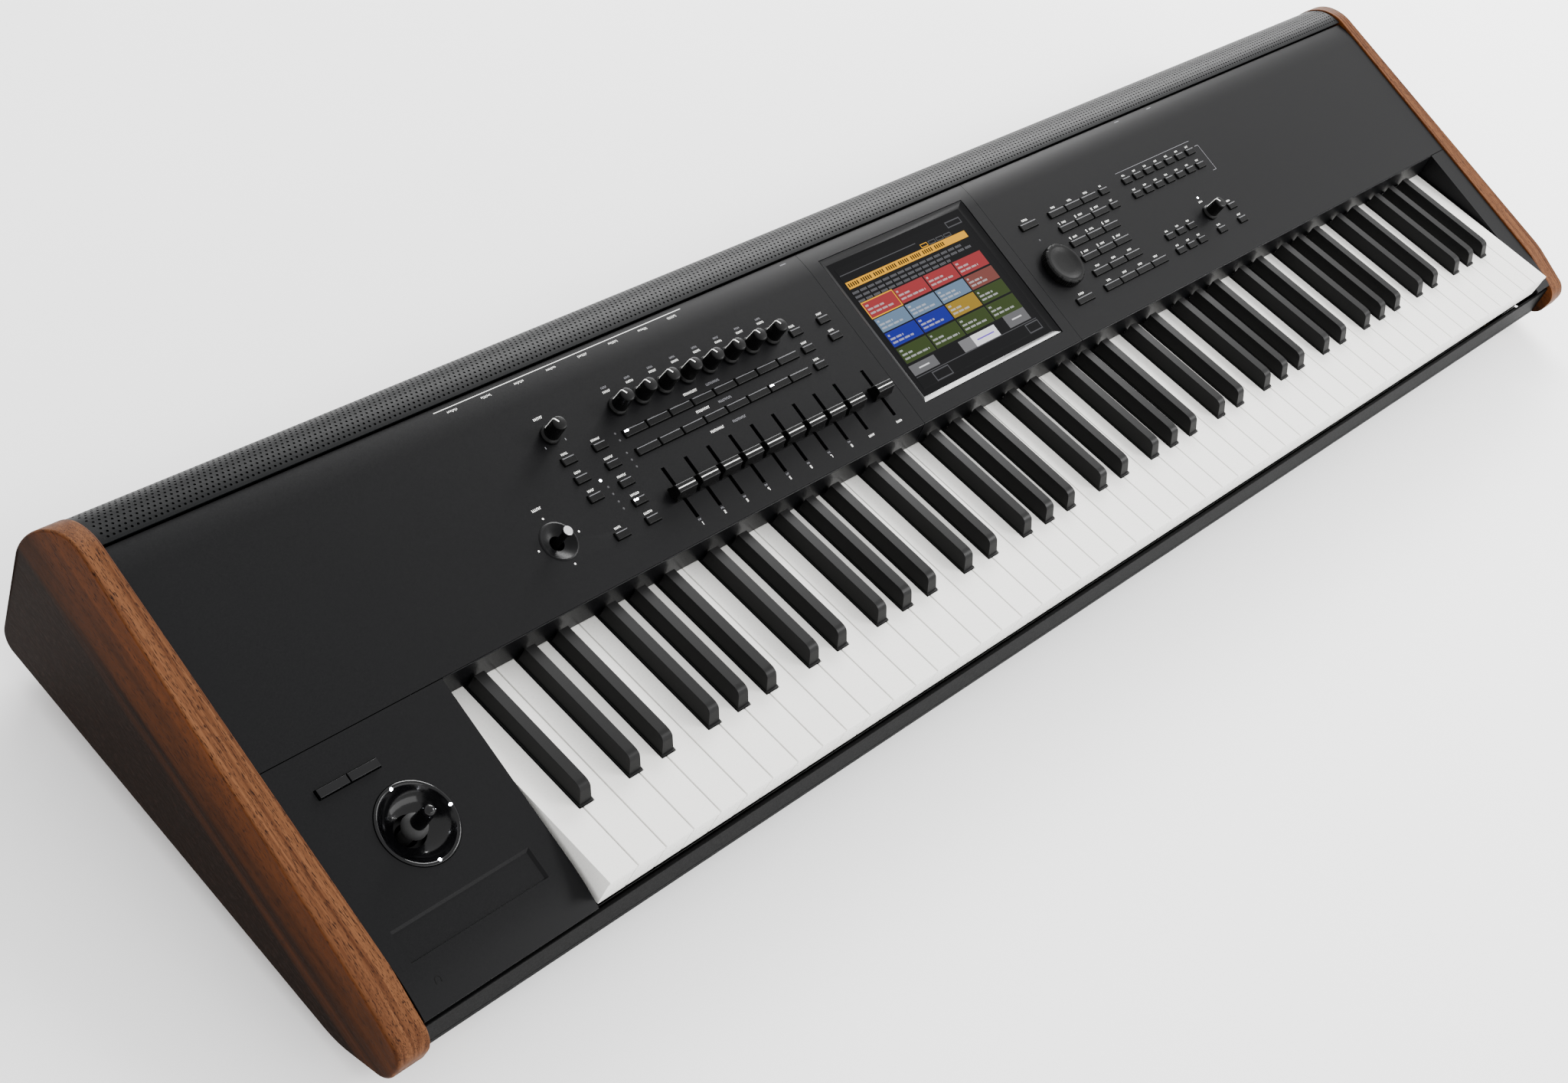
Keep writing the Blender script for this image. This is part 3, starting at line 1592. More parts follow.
@dataclass(frozen=True)
class Sliders:
    """Ten slide controls: a saddle-shaped cap on a thin stem over a carriage."""

    half_width: float = 9.0
    half_depth: float = 5.2

    def side(self) -> list[Flat]:
        """Side view of the cap as (s, h), with hollow flanks for the finger.

        Returns:
            The outline's points.
        """
        front = [(-self.half_depth, 1.1), (-self.half_depth, 3.0), (-4.5, 4.4), (-3.8, 6.4),
                 (-3.35, 8.4), (-3.0, 9.6), (-2.4, 10.0)]
        return front + [(-s, h) for s, h in front[::-1]]

    def build_one(self, node: str, x: float) -> None:
        """Makes one slider on its body.

        Args:
            node: The CAD node that it stands for.
            x: X of its slot.
        """
        shape = Shape()
        side = [(SLIDER_MIDDLE + s, h) for s, h in self.side()]
        rings = []
        for inset, offset in ((0.45, -self.half_width), (0.12, -8.75), (0.0, -8.3), (0.0, 8.3),
                              (0.12, 8.75), (0.45, self.half_width)):
            low = self.side()
            ring = []
            for (s, h), (s0, h0) in zip(side, low):
                share = 1 - inset / 6
                ring.append(on_panel(x + offset * (1 - max(0.0, h - 3) * 0.006),
                                     SLIDER_MIDDLE + s0 * share, 1.1 + (h0 - 1.1) * share))
            rings.append(ring)
        shape.loft(rings)
        stem = [((3, 5), -8), ((3, 5), -4), ((0.7, 1.5), -4), ((0.7, 1.5), 1.4)]
        shape.loft([
            [on_panel(u, v, h) for u, v in box_outline(x, SLIDER_MIDDLE, 2 * half[0], 2 * half[1])]
            for half, h in stem
        ])
        line = box_outline(x, SLIDER_MIDDLE, 15.7, 0.65)
        shape.prism(line, 9.6, 10.03, on_panel, 1)
        piece = shape.object(f"{node}_cap", [KNOB_PLASTIC, INK])
        install(smooth(piece, 38), node, Slot.CONTROL, [node])

    def columns(self) -> dict[str, float]:
        """X of each slider's slot.

        Returns:
            X by CAD node.
        """
        columns = {f"mix_slider_{i + 1}": knob_x(i) for i in range(8)}
        columns.update({"master_slider": MASTER_X, "value_slider": VALUE_X})
        return columns

    def build(self) -> None:
        """Makes all ten."""
        for node, x in self.columns().items():
            self.build_one(node, x)


@dataclass(frozen=True)
class Knobs:
    """Ten rotary controls: a tall, slightly tapered, finely fluted knob on a glossy flange."""

    flutes: int = 36
    pointer: float = math.radians(120.0)
    profile: tuple[Flat, ...] = (
        (0.0, -10.0), (3.0, -10.0), (3.0, 0.6), (6.9, 0.6), (7.0, 0.8), (7.0, 1.5), (6.8, 1.9),
        (6.2, 2.7), (5.6, 3.2), (5.45, 3.8), (5.1, 14.6), (4.95, 15.3), (4.6, 15.8),
        (4.1, 16.0), (0.0, 15.85),
    )

    def flute(self, angle: float, number: int) -> float:
        """Depth of the fluting at an angle, on the knob's barrel only."""
        return 0.09 * math.cos(angle * self.flutes) if 9 <= number <= 11 else 0.0

    def build_one(self, node: str, x: float, s: float) -> None:
        """Makes one knob on its body.

        Args:
            node: The CAD node that it stands for.
            x: X of its middle.
            s: Slope distance of its middle.
        """
        place = panel_at(x, s)
        shape = Shape()
        body = [point for point in self.profile if point[0] > 0]
        shape.turned([(0.02, -10.0), *body, (0.02, 15.85)], self.flutes * 4, place, wave=self.flute)
        direction = Vector((math.cos(self.pointer), math.sin(self.pointer)))
        side = Vector((-direction.y, direction.x)) * 0.42

        def line(r0: float, r1: float) -> list[Flat]:
            """The pointer line from one radius to another."""
            ends = [direction * r0 - side, direction * r1 - side, direction * r1 + side,
                    direction * r0 + side]
            return [(point.x, point.y) for point in ends]

        shape.prism(line(0.9, 4.3), 15.6, 16.05, place, 1)
        rings = []
        for h, reach in ((4.2, 5.58), (14.7, 5.25), (15.45, 5.02), (15.9, 4.42)):
            rings.append([place(u, v, h) for u, v in line(reach - 0.5, reach)])
        shape.loft(rings, 1)
        piece = shape.object(f"{node}_turned", [KNOB_PLASTIC, INK])
        install(smooth(piece, 32), node, Slot.CONTROL, [node])

    def build(self) -> None:
        """Makes all ten."""
        for i in range(8):
            self.build_one(f"control_knob_{i + 1}", knob_x(i), KNOB_ROW)
        self.build_one("main_volume_knob", *VOLUME)
        self.build_one("tempo_knob", *TEMPO)


@dataclass(frozen=True)
class ValueDial:
    """The endless wheel: ribbed side, notched rim, dished top."""

    ribs: int = 60
    notches: int = 12

    def wave(self, angle: float, number: int) -> float:
        """Ribs on the side and wide finger notches round the rim.

        Args:
            angle: Angle round the axis.
            number: Number of the profile's point.

        Returns:
            What is added to the radius.
        """
        if 4 <= number <= 6:
            ribs = 0.16 * math.cos(angle * self.ribs)
            share = max(0.0, math.cos(angle * self.notches))
            return ribs - (0.6 * share**4 if number >= 5 else 0.0)
        if number == 7:
            return -0.5 * max(0.0, math.cos(angle * self.notches)) ** 4
        return 0.0

    def build(self) -> None:
        """Makes the wheel on its body."""
        profile = [
            (0.02, -10.0), (4.0, -10.0), (4.0, 0.6), (18.0, 0.6), (18.3, 1.0), (18.3, 5.4),
            (18.0, 6.2), (17.2, 7.0), (15.6, 7.2), (14.2, 7.1), (12.0, 6.5), (8.0, 6.1),
            (0.02, 6.0),
        ]
        shape = Shape()
        shape.turned(profile, self.ribs * 4, panel_at(DIAL_X, DIAL_S), wave=self.wave)
        piece = shape.object("value_dial_wheel", [KNOB_PLASTIC])
        install(smooth(piece, 32), Body.DIAL.value, Slot.CONTROL, ["value_dial"])


@dataclass(frozen=True)
class Joysticks:
    """The small vector stick and the big performance joystick."""

    lights: tuple[Flat, ...] = ((-73.0, -42.5), (-47.0, -66.4), (-73.0, -90.2))

    def vector(self) -> None:
        """Makes the vector stick with its silver cap, and the well's dots."""
        place = panel_at(*VECTOR)
        shape = Shape()
        shape.turned(
            [(0.02, -12.0), (2.6, -12.0), (2.6, -6.0), (2.2, -2.0), (2.2, 9.3), (3.3, 11.2),
             (3.6, 11.7), (3.6, 13.1), (3.3, 13.3), (0.02, 13.3)], 48, place)
        shape.turned([(0.02, 13.2), (3.2, 13.2), (3.2, 13.6), (2.9, 13.85), (0.02, 13.85)], 48,
                     place, 1)
        piece = shape.object("vector_stick_turned", [KNOB_PLASTIC, SILVER])
        install(smooth(piece, 35), Body.VECTOR_STICK.value, Slot.CONTROL, ["vector_stick"])

    def dish(self) -> None:
        """Makes the glossy dish with its three lights."""
        profile = [
            (26.0, -3.4), (26.0, 0.3), (25.7, 0.8), (24.8, 1.15), (24.0, 0.9), (23.3, 0.1),
            (21.9, -2.4), (20.0, -5.0), (17.6, -7.4), (15.0, -9.1), (12.5, -10.3),
            (10.2, -11.0), (10.2, -13.0), (15.5, -11.2), (21.4, -7.0), (23.6, -3.4),
        ]
        shape = Shape()
        shape.turned(profile, 144, panel_at(*JOYSTICK), closed=True)
        for x, s in self.lights:
            shape.turned([(0.02, 0.2), (0.95, 0.2), (0.95, 1.15), (0.7, 1.4), (0.02, 1.5)], 20,
                         panel_at(x, s), 1)
        piece = shape.object("joystick_dish_moulding", [GLOSS_PLASTIC, LED])
        install(smooth(piece, 40), Body.CASE.value, Slot.GLOSS, ["joystick_dish"])

    def lever(self) -> None:
        """Makes the stick with its rubber boot."""
        place = panel_at(*JOYSTICK)
        boot = [
            (0.02, -26.0), (4.0, -26.0), (4.6, -22.0), (4.6, -12.5), (5.8, -9.5), (7.2, -7.2),
            (8.0, -5.5), (7.9, -3.4), (7.4, -2.0), (6.6, -0.6), (5.6, 0.5), (5.0, 1.2),
            (0.02, 1.2),
        ]
        stick = [
            (0.02, 0.5), (4.9, 0.5), (5.0, 1.6), (4.7, 5.0), (4.4, 10.0), (4.1, 15.5),
            (3.8, 17.3), (3.2, 18.8), (2.3, 19.7), (1.3, 20.15), (0.02, 20.3),
        ]
        shape = Shape().turned(boot, 64, place).turned(stick, 64, place, 1)
        piece = shape.object("joystick_lever_moulding", [RUBBER, GLOSS_PLASTIC])
        install(smooth(piece, 40), Body.LEVER.value, Slot.GLOSS, ["joystick_lever"])

    def switches(self) -> None:
        """Makes the two assignable switches."""
        for k in range(2):
            shape = Shape()
            levels = ((-6.5, 10.5, 5.0), (-4.5, 10.5, 5.0), (-4.5, 10.5, 2.8), (1.5, 10.5, 2.8),
                      (1.95, 10.35, 2.6), (2.2, 10.0, 2.2))
            middle = self.switch_x(k)
            shape.loft([
                [on_panel(u, v, h) for u, v in box_outline(middle, SWITCH_S, 2 * a, 2 * b)]
                for h, a, b in levels
            ])
            node = f"assign_switch_{k + 1}"
            piece = shape.object(f"{node}_cap", [GLOSS_PLASTIC])
            install(smooth(piece, 40), node, Slot.CONTROL, [node])

    def switch_x(self, number: int) -> float:
        """X of a switch's middle, taken from the CAD."""
        low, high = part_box(f"assign_switch_{number + 1}")
        return ((low[0] + high[0]) / 2 - ORIGIN.x) / MM

    def build(self) -> None:
        """Makes everything."""
        self.vector()
        self.dish()
        self.lever()
        self.switches()


@dataclass(frozen=True)
class Display:
    """The touch display: a bevelled bezel, black glass and the lit picture."""

    opening: Flat = (171.4, 129.4)
    glass: Flat = (158.6, 119.0)
    floor: float = -3.2
    picture: Flat = (148.0, 108.0)

    def tray(self) -> None:
        """Makes the bezel and the glass as one piece."""
        x, s = SCREEN
        outer = (self.opening[0] - 0.8, self.opening[1] - 0.8)
        shape = Shape()
        levels = [(outer, -9.0), (outer, -0.7), ((outer[0] - 0.5, outer[1] - 0.5), -0.42)]
        levels += [((self.glass[0] + 0.5, self.glass[1] + 0.5), self.floor - 0.05),
                   (self.glass, self.floor - 0.1)]
        shape.loft([[on_panel(u, v, h) for u, v in box_outline(x, s, *size)] for size, h in levels])
        sides = 4 * (len(levels) - 2)
        shape.tags[2 : 2 + sides] = [1, 2, 2, 2] * (sides // 4)
        piece = shape.object("touch_display_glass", [GLASS, BEZEL, POWDER])
        install(smooth(piece, 30), Body.CASE.value, Slot.SCREEN, ["touch_display"])

    def block(self, shape: Shape, u0: float, u1: float, v0: float, v1: float, tint: str,
              level: int = 1) -> None:
        """Adds a rectangle of the picture, u from the left and v from the rear, as shares.

        Args:
            shape: Where it goes.
            u0: Its left side.
            u1: Its right side.
            v0: Its rear side.
            v1: Its front side.
            tint: Colour of its faces.
            level: Its layer, counted from the lowest.
        """
        width, height = self.picture
        x0 = SCREEN[0] - width / 2
        s1 = SCREEN[1] + height / 2
        outline = [(x0 + u0 * width, s1 - v1 * height), (x0 + u1 * width, s1 - v1 * height),
                   (x0 + u1 * width, s1 - v0 * height), (x0 + u0 * width, s1 - v0 * height)]
        bottom = self.floor - 0.2
        shape.prism(outline, bottom, self.floor + 0.02 * level, on_panel, 0, tint)

    def letters(self, shape: Shape, u: float, length: float, v: float, height: float,
                tint: str) -> None:
        """Adds a line of tiny plain strokes that stands for text.

        Args:
            shape: Where it goes.
            u: Its left end.
            length: Its length.
            v: Its rear side.
            height: Height of a letter.
            tint: Colour of its faces.
        """
        pitch = height * 0.55
        for k in range(max(1, int(length / pitch))):
            if k % 6 != 5:
                left = u + k * pitch
                self.block(shape, left, left + pitch * 0.55, v, v + height, tint, 3)

    def frame_of(self, shape: Shape, u0: float, u1: float, v0: float, v1: float, tint: str,
                 line: float = 0.006) -> None:
        """Adds an outlined rectangle."""
        self.block(shape, u0, u1, v0, v1, tint, 2)
        self.block(shape, u0 + line, u1 - line, v0 + line * 1.4, v1 - line * 1.4, "#0a0a0c", 3)

    def tiles(self, shape: Shape) -> None:
        """Adds the four rows of program tiles with small level bars.

        Args:
            shape: Where it goes.
        """
        colours = (
            ("#8c2c30", "#8c2c30", "#8c2c30", "#8c2c30"),
            ("#5a7088", "#5a7088", "#5a7088", "#6c3a34"),
            ("#141c80", "#141c80", "#8c7020", "#2e3c18"),
            ("#2e3c18", "#2e3c18", "#2e3c18", "#2e3c18"),
        )
        tops = ((0.29, 0.41), (0.425, 0.535), (0.545, 0.66), (0.675, 0.80))
        generator = np.random.default_rng(7)
        for r, (v0, v1) in enumerate(tops):
            for c in range(4):
                u0, u1 = 0.975 * c / 4 + 0.006, 0.975 * (c + 1) / 4 - 0.004
                if r == 0 and c == 0:
                    self.block(shape, u0 - 0.006, u1 + 0.006, v0 - 0.008, v1 + 0.008, "#dc9c14")
                self.block(shape, u0, u1, v0, v1, colours[r][c], 2)
                for k in range(3):
                    length = (0.12, 0.5, 0.8)[k] * float(generator.uniform(0.7, 1.1))
                    top = v0 + (v1 - v0) * (0.16 + 0.26 * k)
                    self.letters(shape, u0 + 0.012, (u1 - u0) * length, top, 0.014, "#b4b4b8")

    def build(self) -> None:
        """Makes the tray and the picture."""
        self.tray()
        shape = Shape()
        self.block(shape, -0.005, 1.005, -0.005, 1.005, "#08080a", 0)
        self.block(shape, 0.0, 0.6, 0.05, 0.056, "#47474a")
        for k in range(4):
            u0 = 0.62 + 0.065 * k
            colour = "#dc9c14" if k == 0 else "#4a4a4c"
            self.frame_of(shape, u0, u0 + 0.055, 0.075, 0.105, colour, 0.004)
        self.frame_of(shape, 0.88, 1.0, 0.0, 0.05, "#47474a")
        self.block(shape, 0.0, 0.97, 0.11, 0.165, "#dc9c14")
        self.letters(shape, 0.01, 0.8, 0.122, 0.03, "#1c1604")
        for v, length in ((0.19, 0.9), (0.225, 0.95), (0.26, 0.75)):
            self.letters(shape, 0.0, length, v, 0.018, "#606064")
        self.tiles(shape)
        self.block(shape, 0.0, 0.2, 0.82, 0.9, "#5a5a5c")
        self.block(shape, 0.06, 0.14, 0.855, 0.865, "#d8d8da", 2)
        self.block(shape, 0.4, 0.5, 0.82, 0.91, "#6a6a6c")
        self.block(shape, 0.5, 0.7, 0.82, 0.91, "#dcdce0")
        self.block(shape, 0.53, 0.67, 0.862, 0.872, "#6a4ac0", 2)
        self.block(shape, 0.79, 0.97, 0.8, 0.9, "#5a5a5c")
        self.block(shape, 0.84, 0.92, 0.845, 0.855, "#d8d8da", 2)
        self.block(shape, 0.0, 1.0, 0.912, 0.917, "#47474a")
        self.frame_of(shape, 0.11, 0.24, 0.925, 1.0, "#47474a")
        self.frame_of(shape, 0.89, 1.0, 0.925, 1.0, "#47474a")
        piece = shape.object("touch_display_picture", [PICTURE])
        install(piece, Body.CASE.value, Slot.SCREEN)


# ---------------------------------------------------------------- printing


@dataclass(frozen=True)
class Printing:
    """Screen-printed labels as rows of generic strokes, numbers, dots and frames."""

    ink: float = 0.03

    def height(self, s: float) -> float:
        """How far the panel's surface has rolled down at this place."""
        share = max(0.0, (s - ROLL_START) / (PANEL_LENGTH - ROLL_START))
        return -ROLL_DROP * share * share

    def bar(self, shape: Shape, x: float, s: float, width: float, depth: float,
            tag: int = 0) -> None:
        """Adds a printed rectangle about its middle."""
        h = self.height(s)
        shape.prism(box_outline(x, s, width, depth), h - 0.04, h + self.ink, on_panel, tag)

    def word(self, shape: Shape, x: float, s: float, letters: int, size: float = 1.5,
             tag: int = 0) -> None:
        """Adds a centred label of plain upright strokes, one to each letter.

        Args:
            shape: Where it goes.
            x: X of its middle.
            s: Slope distance of its middle.
            letters: Number of letters.
            size: Height of a letter.
            tag: Number of its finish.
        """
        size *= 1.2
        pitch = size * 0.72
        generator = np.random.default_rng(int(abs(x) * 10 + abs(s) * 7) + letters)
        for k in range(letters):
            u = x + (k - (letters - 1) / 2) * pitch
            width = pitch * float(generator.uniform(0.34, 0.5))
            self.bar(shape, u - pitch * 0.18, s, pitch * 0.3, size, tag)
            lift = float(generator.choice([-0.38, 0.0, 0.38])) * size
            self.bar(shape, u + width / 3, s + lift, width, size * 0.24, tag)

    def digit(self, shape: Shape, number: int, x: float, s: float, size: float = 2.4,
              tag: int = 0) -> None:
        """Adds a number of seven strokes.

        Args:
            shape: Where it goes.
            number: The number, 0 to 9.
            x: X of its middle.
            s: Slope distance of its middle.
            size: Its height.
            tag: Number of its finish.
        """
        parts = ("abcdef", "bc", "abged", "abgcd", "fgbc", "afgcd", "afgedc", "abc", "abcdefg",
                 "abcdfg")[number]
        w, t = size * 0.55, size * 0.2
        strokes = {
            "a": (0, 1, w, t), "g": (0, 0, w, t), "d": (0, -1, w, t), "f": (-1, 0.5, t, 0),
            "b": (1, 0.5, t, 0), "e": (-1, -0.5, t, 0), "c": (1, -0.5, t, 0),
        }
        for part in parts:
            u, v, width, depth = strokes[part]
            self.bar(shape, x + u * (w - t) / 2, s + v * (size - t) / 2, width,
                     depth or size / 2 + t / 2, tag)

    def dot(self, shape: Shape, x: float, s: float, radius: float, tag: int) -> None:
        """Adds a small round window or dot."""
        shape.turned([(0.02, -0.3), (radius, -0.3), (radius, 0.06), (0.02, 0.16)], 16,
                     panel_at(x, s), tag)

    def build(self) -> None:
        """Prints every panel."""
        shape = Shape()
        self.left(shape)
        self.mixer(shape)
        self.right(shape)
        piece = shape.object("panel_printing", [INK, DIM_INK, LED, DARK_LED])
        install(piece, Body.CASE.value, Slot.METAL)

    def left(self, shape: Shape) -> None:
        """Vector stick, volume knob and the two button columns on the left.

        Args:
            shape: Where it goes.
        """
        x, s = VECTOR
        for u, v in ((17.3, 0), (-17.3, 0), (0, 17.3), (0, -17.3)):
            self.dot(shape, x + u, s + v, 0.7, 0)
        self.word(shape, x, s + 24.5, 6)
        self.word(shape, VOLUME[0], VOLUME[1] + 13.5, 6)
        self.bar(shape, VOLUME[0] - 8.8, VOLUME[1] - 6.5, 0.6, 1.6, 1)
        self.bar(shape, VOLUME[0] + 8.8, VOLUME[1] - 6.5, 0.6, 1.6, 1)
        for i in (0, 2, 3, 4):
            self.word(shape, LEFT_COLUMN_X, row(i) + 5.4, 5, 1.3)
        for i in range(5):
            self.word(shape, SECOND_COLUMN_X, row(i) + 5.4, 7, 1.3)
        self.dot(shape, 181.0, 65.0, 1.0, 2)
        for px, ps in ((183, 59), (183, 53.5), (183, 47.5), (183, 42), (214, 89), (214, 83.5),
                       (212.5, 74), (212.5, 68.5), (212.5, 63)):
            self.dot(shape, px, ps, 0.8, 3)
        for k in range(8):
            self.word(shape, 118.0 + k * 28.5, 147.0, 7, 1.4)
        self.bar(shape, 217.0, 150.3, 224.0, 0.4)
        self.bar(shape, 437.0, 150.4, 6.0, 0.9, 1)

    def mixer(self, shape: Shape) -> None:
        """Labels of the knobs, the mixer buttons and the slots.

        Args:
            shape: Where it goes.
        """
        for i in range(8):
            x = knob_x(i)
            self.word(shape, x, 117.4, 6, 1.3)
            self.word(shape, x, 120.6, 5, 1.2, 1)
            self.digit(shape, i + 1, x, 9.8)
            self.word(shape, x, 13.0, 3, 1.1, 1)
        for x in (MASTER_X, VALUE_X):
            self.word(shape, x, 9.8, 5, 1.4)
        for r in (3, 4, 5):
            self.word(shape, MASTER_X + 0.9, row(r) + 5.3, 5, 1.3)
        for r in (4, 5):
            self.word(shape, VALUE_X, row(r) + 5.3, 5, 1.3)
        for x, s in ((289.0, 93.0), (289.0, 78.5), (289.0, 62.0)):
            self.word(shape, x, s, 10, 1.5)
            self.word(shape, x + 22.0, s, 10, 1.5, 1)

    def right(self, shape: Shape) -> None:
        """Labels of the dial's side, the digits and the sequencer buttons.

        Args:
            shape: Where it goes.
        """
        for r in (0, 5):
            self.word(shape, DIAL_X, row(r) + 5.5, 6, 1.4)
        self.dot(shape, DIAL_X, 85.8, 1.0, 3)
        for r in range(1, 6):
            for c in range(3):
                self.word(shape, DIGITS_X + DIGITS_PITCH * c, row(r) + 5.4, 5, 1.3)
        for c, digit in enumerate((7, 8, 9)):
            self.digit(shape, digit, 717.0 + DIGITS_PITCH * c, row(4) + 5.4)
            self.digit(shape, digit - 3, 717.0 + DIGITS_PITCH * c, row(3) + 5.4)
            self.digit(shape, digit - 6, 717.0 + DIGITS_PITCH * c, row(2) + 5.4)
        for c in range(4):
            self.word(shape, DIGITS_X + TOP_ROW_PITCH * c, row(0) + 5.4, 5, 1.3)
        for r in (4, 5):
            self.word(shape, MODE_X, row(r) + 5.3, 3, 1.3)
            for c in range(7):
                self.word(shape, SEQUENCE_X + SEQUENCE_PITCH * c, row(r) + 5.3, 4, 1.2)
        for x, s, width, depth in ((936.0, 90.0, 0.35, 26.0), (933.5, 103.0, 5.0, 0.35),
                                   (933.5, 77.0, 5.0, 0.35), (873.0, 109.5, 112.0, 0.3)):
            self.bar(shape, x, s, width, depth, 1)
        for r in (0, 1):
            for c in range(3):
                self.word(shape, TRANSPORT_X + TRANSPORT_PITCH * c, row(r) + 5.3, 4, 1.2)
            self.word(shape, TAP_X, row(r) + 5.3, 5, 1.2)
        self.word(shape, TEMPO[0], row(0) + 5.3, 5, 1.2)
        self.word(shape, TEMPO[0], TEMPO[1] + 12.0, 5, 1.3)
        self.dot(shape, 888.0, 61.0, 0.9, 2)
        self.bar(shape, 866.0, 151.0, 6.0, 0.9, 1)
        self.bar(shape, 915.0, 151.0, 6.0, 0.9, 1)


# ---------------------------------------------------------------- rear, underside, inside


def carried(node: str, finish: Finish, body: str = Body.CASE.value, slot: Slot = Slot.METAL,
            width: float = 0.0) -> Piece:
    """A dressed copy of a CAD node that stands for it.

    Args:
        node: The CAD node.
        finish: The copy's finish.
        body: The body that it moves with.
        slot: Its material slot.
        width: Rounding of its edges in millimetres, or 0 to leave them.

    Returns:
        The piece.
    """
    piece = copied(
        node, f"{node}_finished", finish,
        lambda build: bmesh.ops.dissolve_limit(
            build, angle_limit=math.radians(0.5), verts=build.verts, edges=build.edges
        ),
    )
    if width:
        soften(piece, width)
    else:
        smooth(piece, 32)
    return install(piece, body, slot, [node])


@dataclass(frozen=True)
class Rear:
    """Sockets, mains inlet, power switch and the metalwork round them."""

    jack_first: float = 20.0
    jack_pitch: float = 34.0
    jack_count: int = 8
    jack_z: float = -6.0

    def nuts(self) -> None:
        """Makes the plated ring nuts and washers of the sockets."""
        shape = Shape()
        for k in range(self.jack_count):
            x = self.jack_first + k * self.jack_pitch

            def place(u: float, v: float, w: float, x: float = x) -> Point:
                """Local axes of a socket."""
                return (x + u, REAR_FACE_Y + w, self.jack_z + v)

            ring = [(5.65, 0.05), (7.2, 0.05), (7.2, 1.0), (6.8, 1.5), (5.65, 1.5)]
            shape.turned(ring, 36, place, closed=True)
            washer = [(5.75, 0.02), (8.2, 0.02), (8.2, 0.3), (5.75, 0.3)]
            shape.turned(washer, 36, place, closed=True)
        piece = shape.object("socket_ring_nuts", [DULL_NICKEL])
        install(smooth(piece, 40), Body.CASE.value, Slot.STEEL)

    def pins(self) -> None:
        """Makes the three contact pins in the mains inlet."""
        low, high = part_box("power_inlet")
        middle_x = ((low[0] + high[0]) / 2 - ORIGIN.x) / MM
        middle_z = ((low[2] + high[2]) / 2 - ORIGIN.z) / MM
        rear = (high[1] - ORIGIN.y) / MM
        shape = Shape()
        for u, v in ((-7.0, -2.0), (0.0, 2.0), (7.0, -2.0)):
            pin = box_outline(middle_x + u, middle_z + v, 1.6, 4.0)
            shape.prism(pin, rear - 14.0, rear - 2.0, along_y)
        piece = shape.object("mains_inlet_pins", [DULL_NICKEL])
        install(soften(piece, 0.3), Body.CASE.value, Slot.STEEL)

    def marks(self) -> None:
        """Makes the printed frames and generic labels of the rear panel."""
        shape = Shape()

        def place(u: float, v: float, w: float) -> Point:
            """A place on the rear panel."""
            return (u, REAR_FACE_Y + w, v)

        for k in range(self.jack_count):
            x = self.jack_first + k * self.jack_pitch
            for j in range(4):
                letter = box_outline(x - 3 + j * 2, self.jack_z + 14, 1.1, 2.0)
                shape.prism(letter, -0.03, 0.05, place)
        shape.prism(box_outline(139.0, self.jack_z + 18.0, 262.0, 0.5), -0.03, 0.05, place)
        piece = shape.object("rear_printing", [INK])
        install(piece, Body.CASE.value, Slot.METAL)

    def build(self) -> None:
        """Dresses the rear."""
        carried("rear_panel", POWDER)
        carried("jack_board", BUTTON_PLASTIC, slot=Slot.BOARD)
        carried("power_inlet", BUTTON_PLASTIC, slot=Slot.CONTROL, width=0.3)
        carried("power_switch", GLOSS_PLASTIC, Body.POWER_SWITCH.value, Slot.CONTROL, 0.4)
        self.nuts()
        self.pins()
        self.marks()


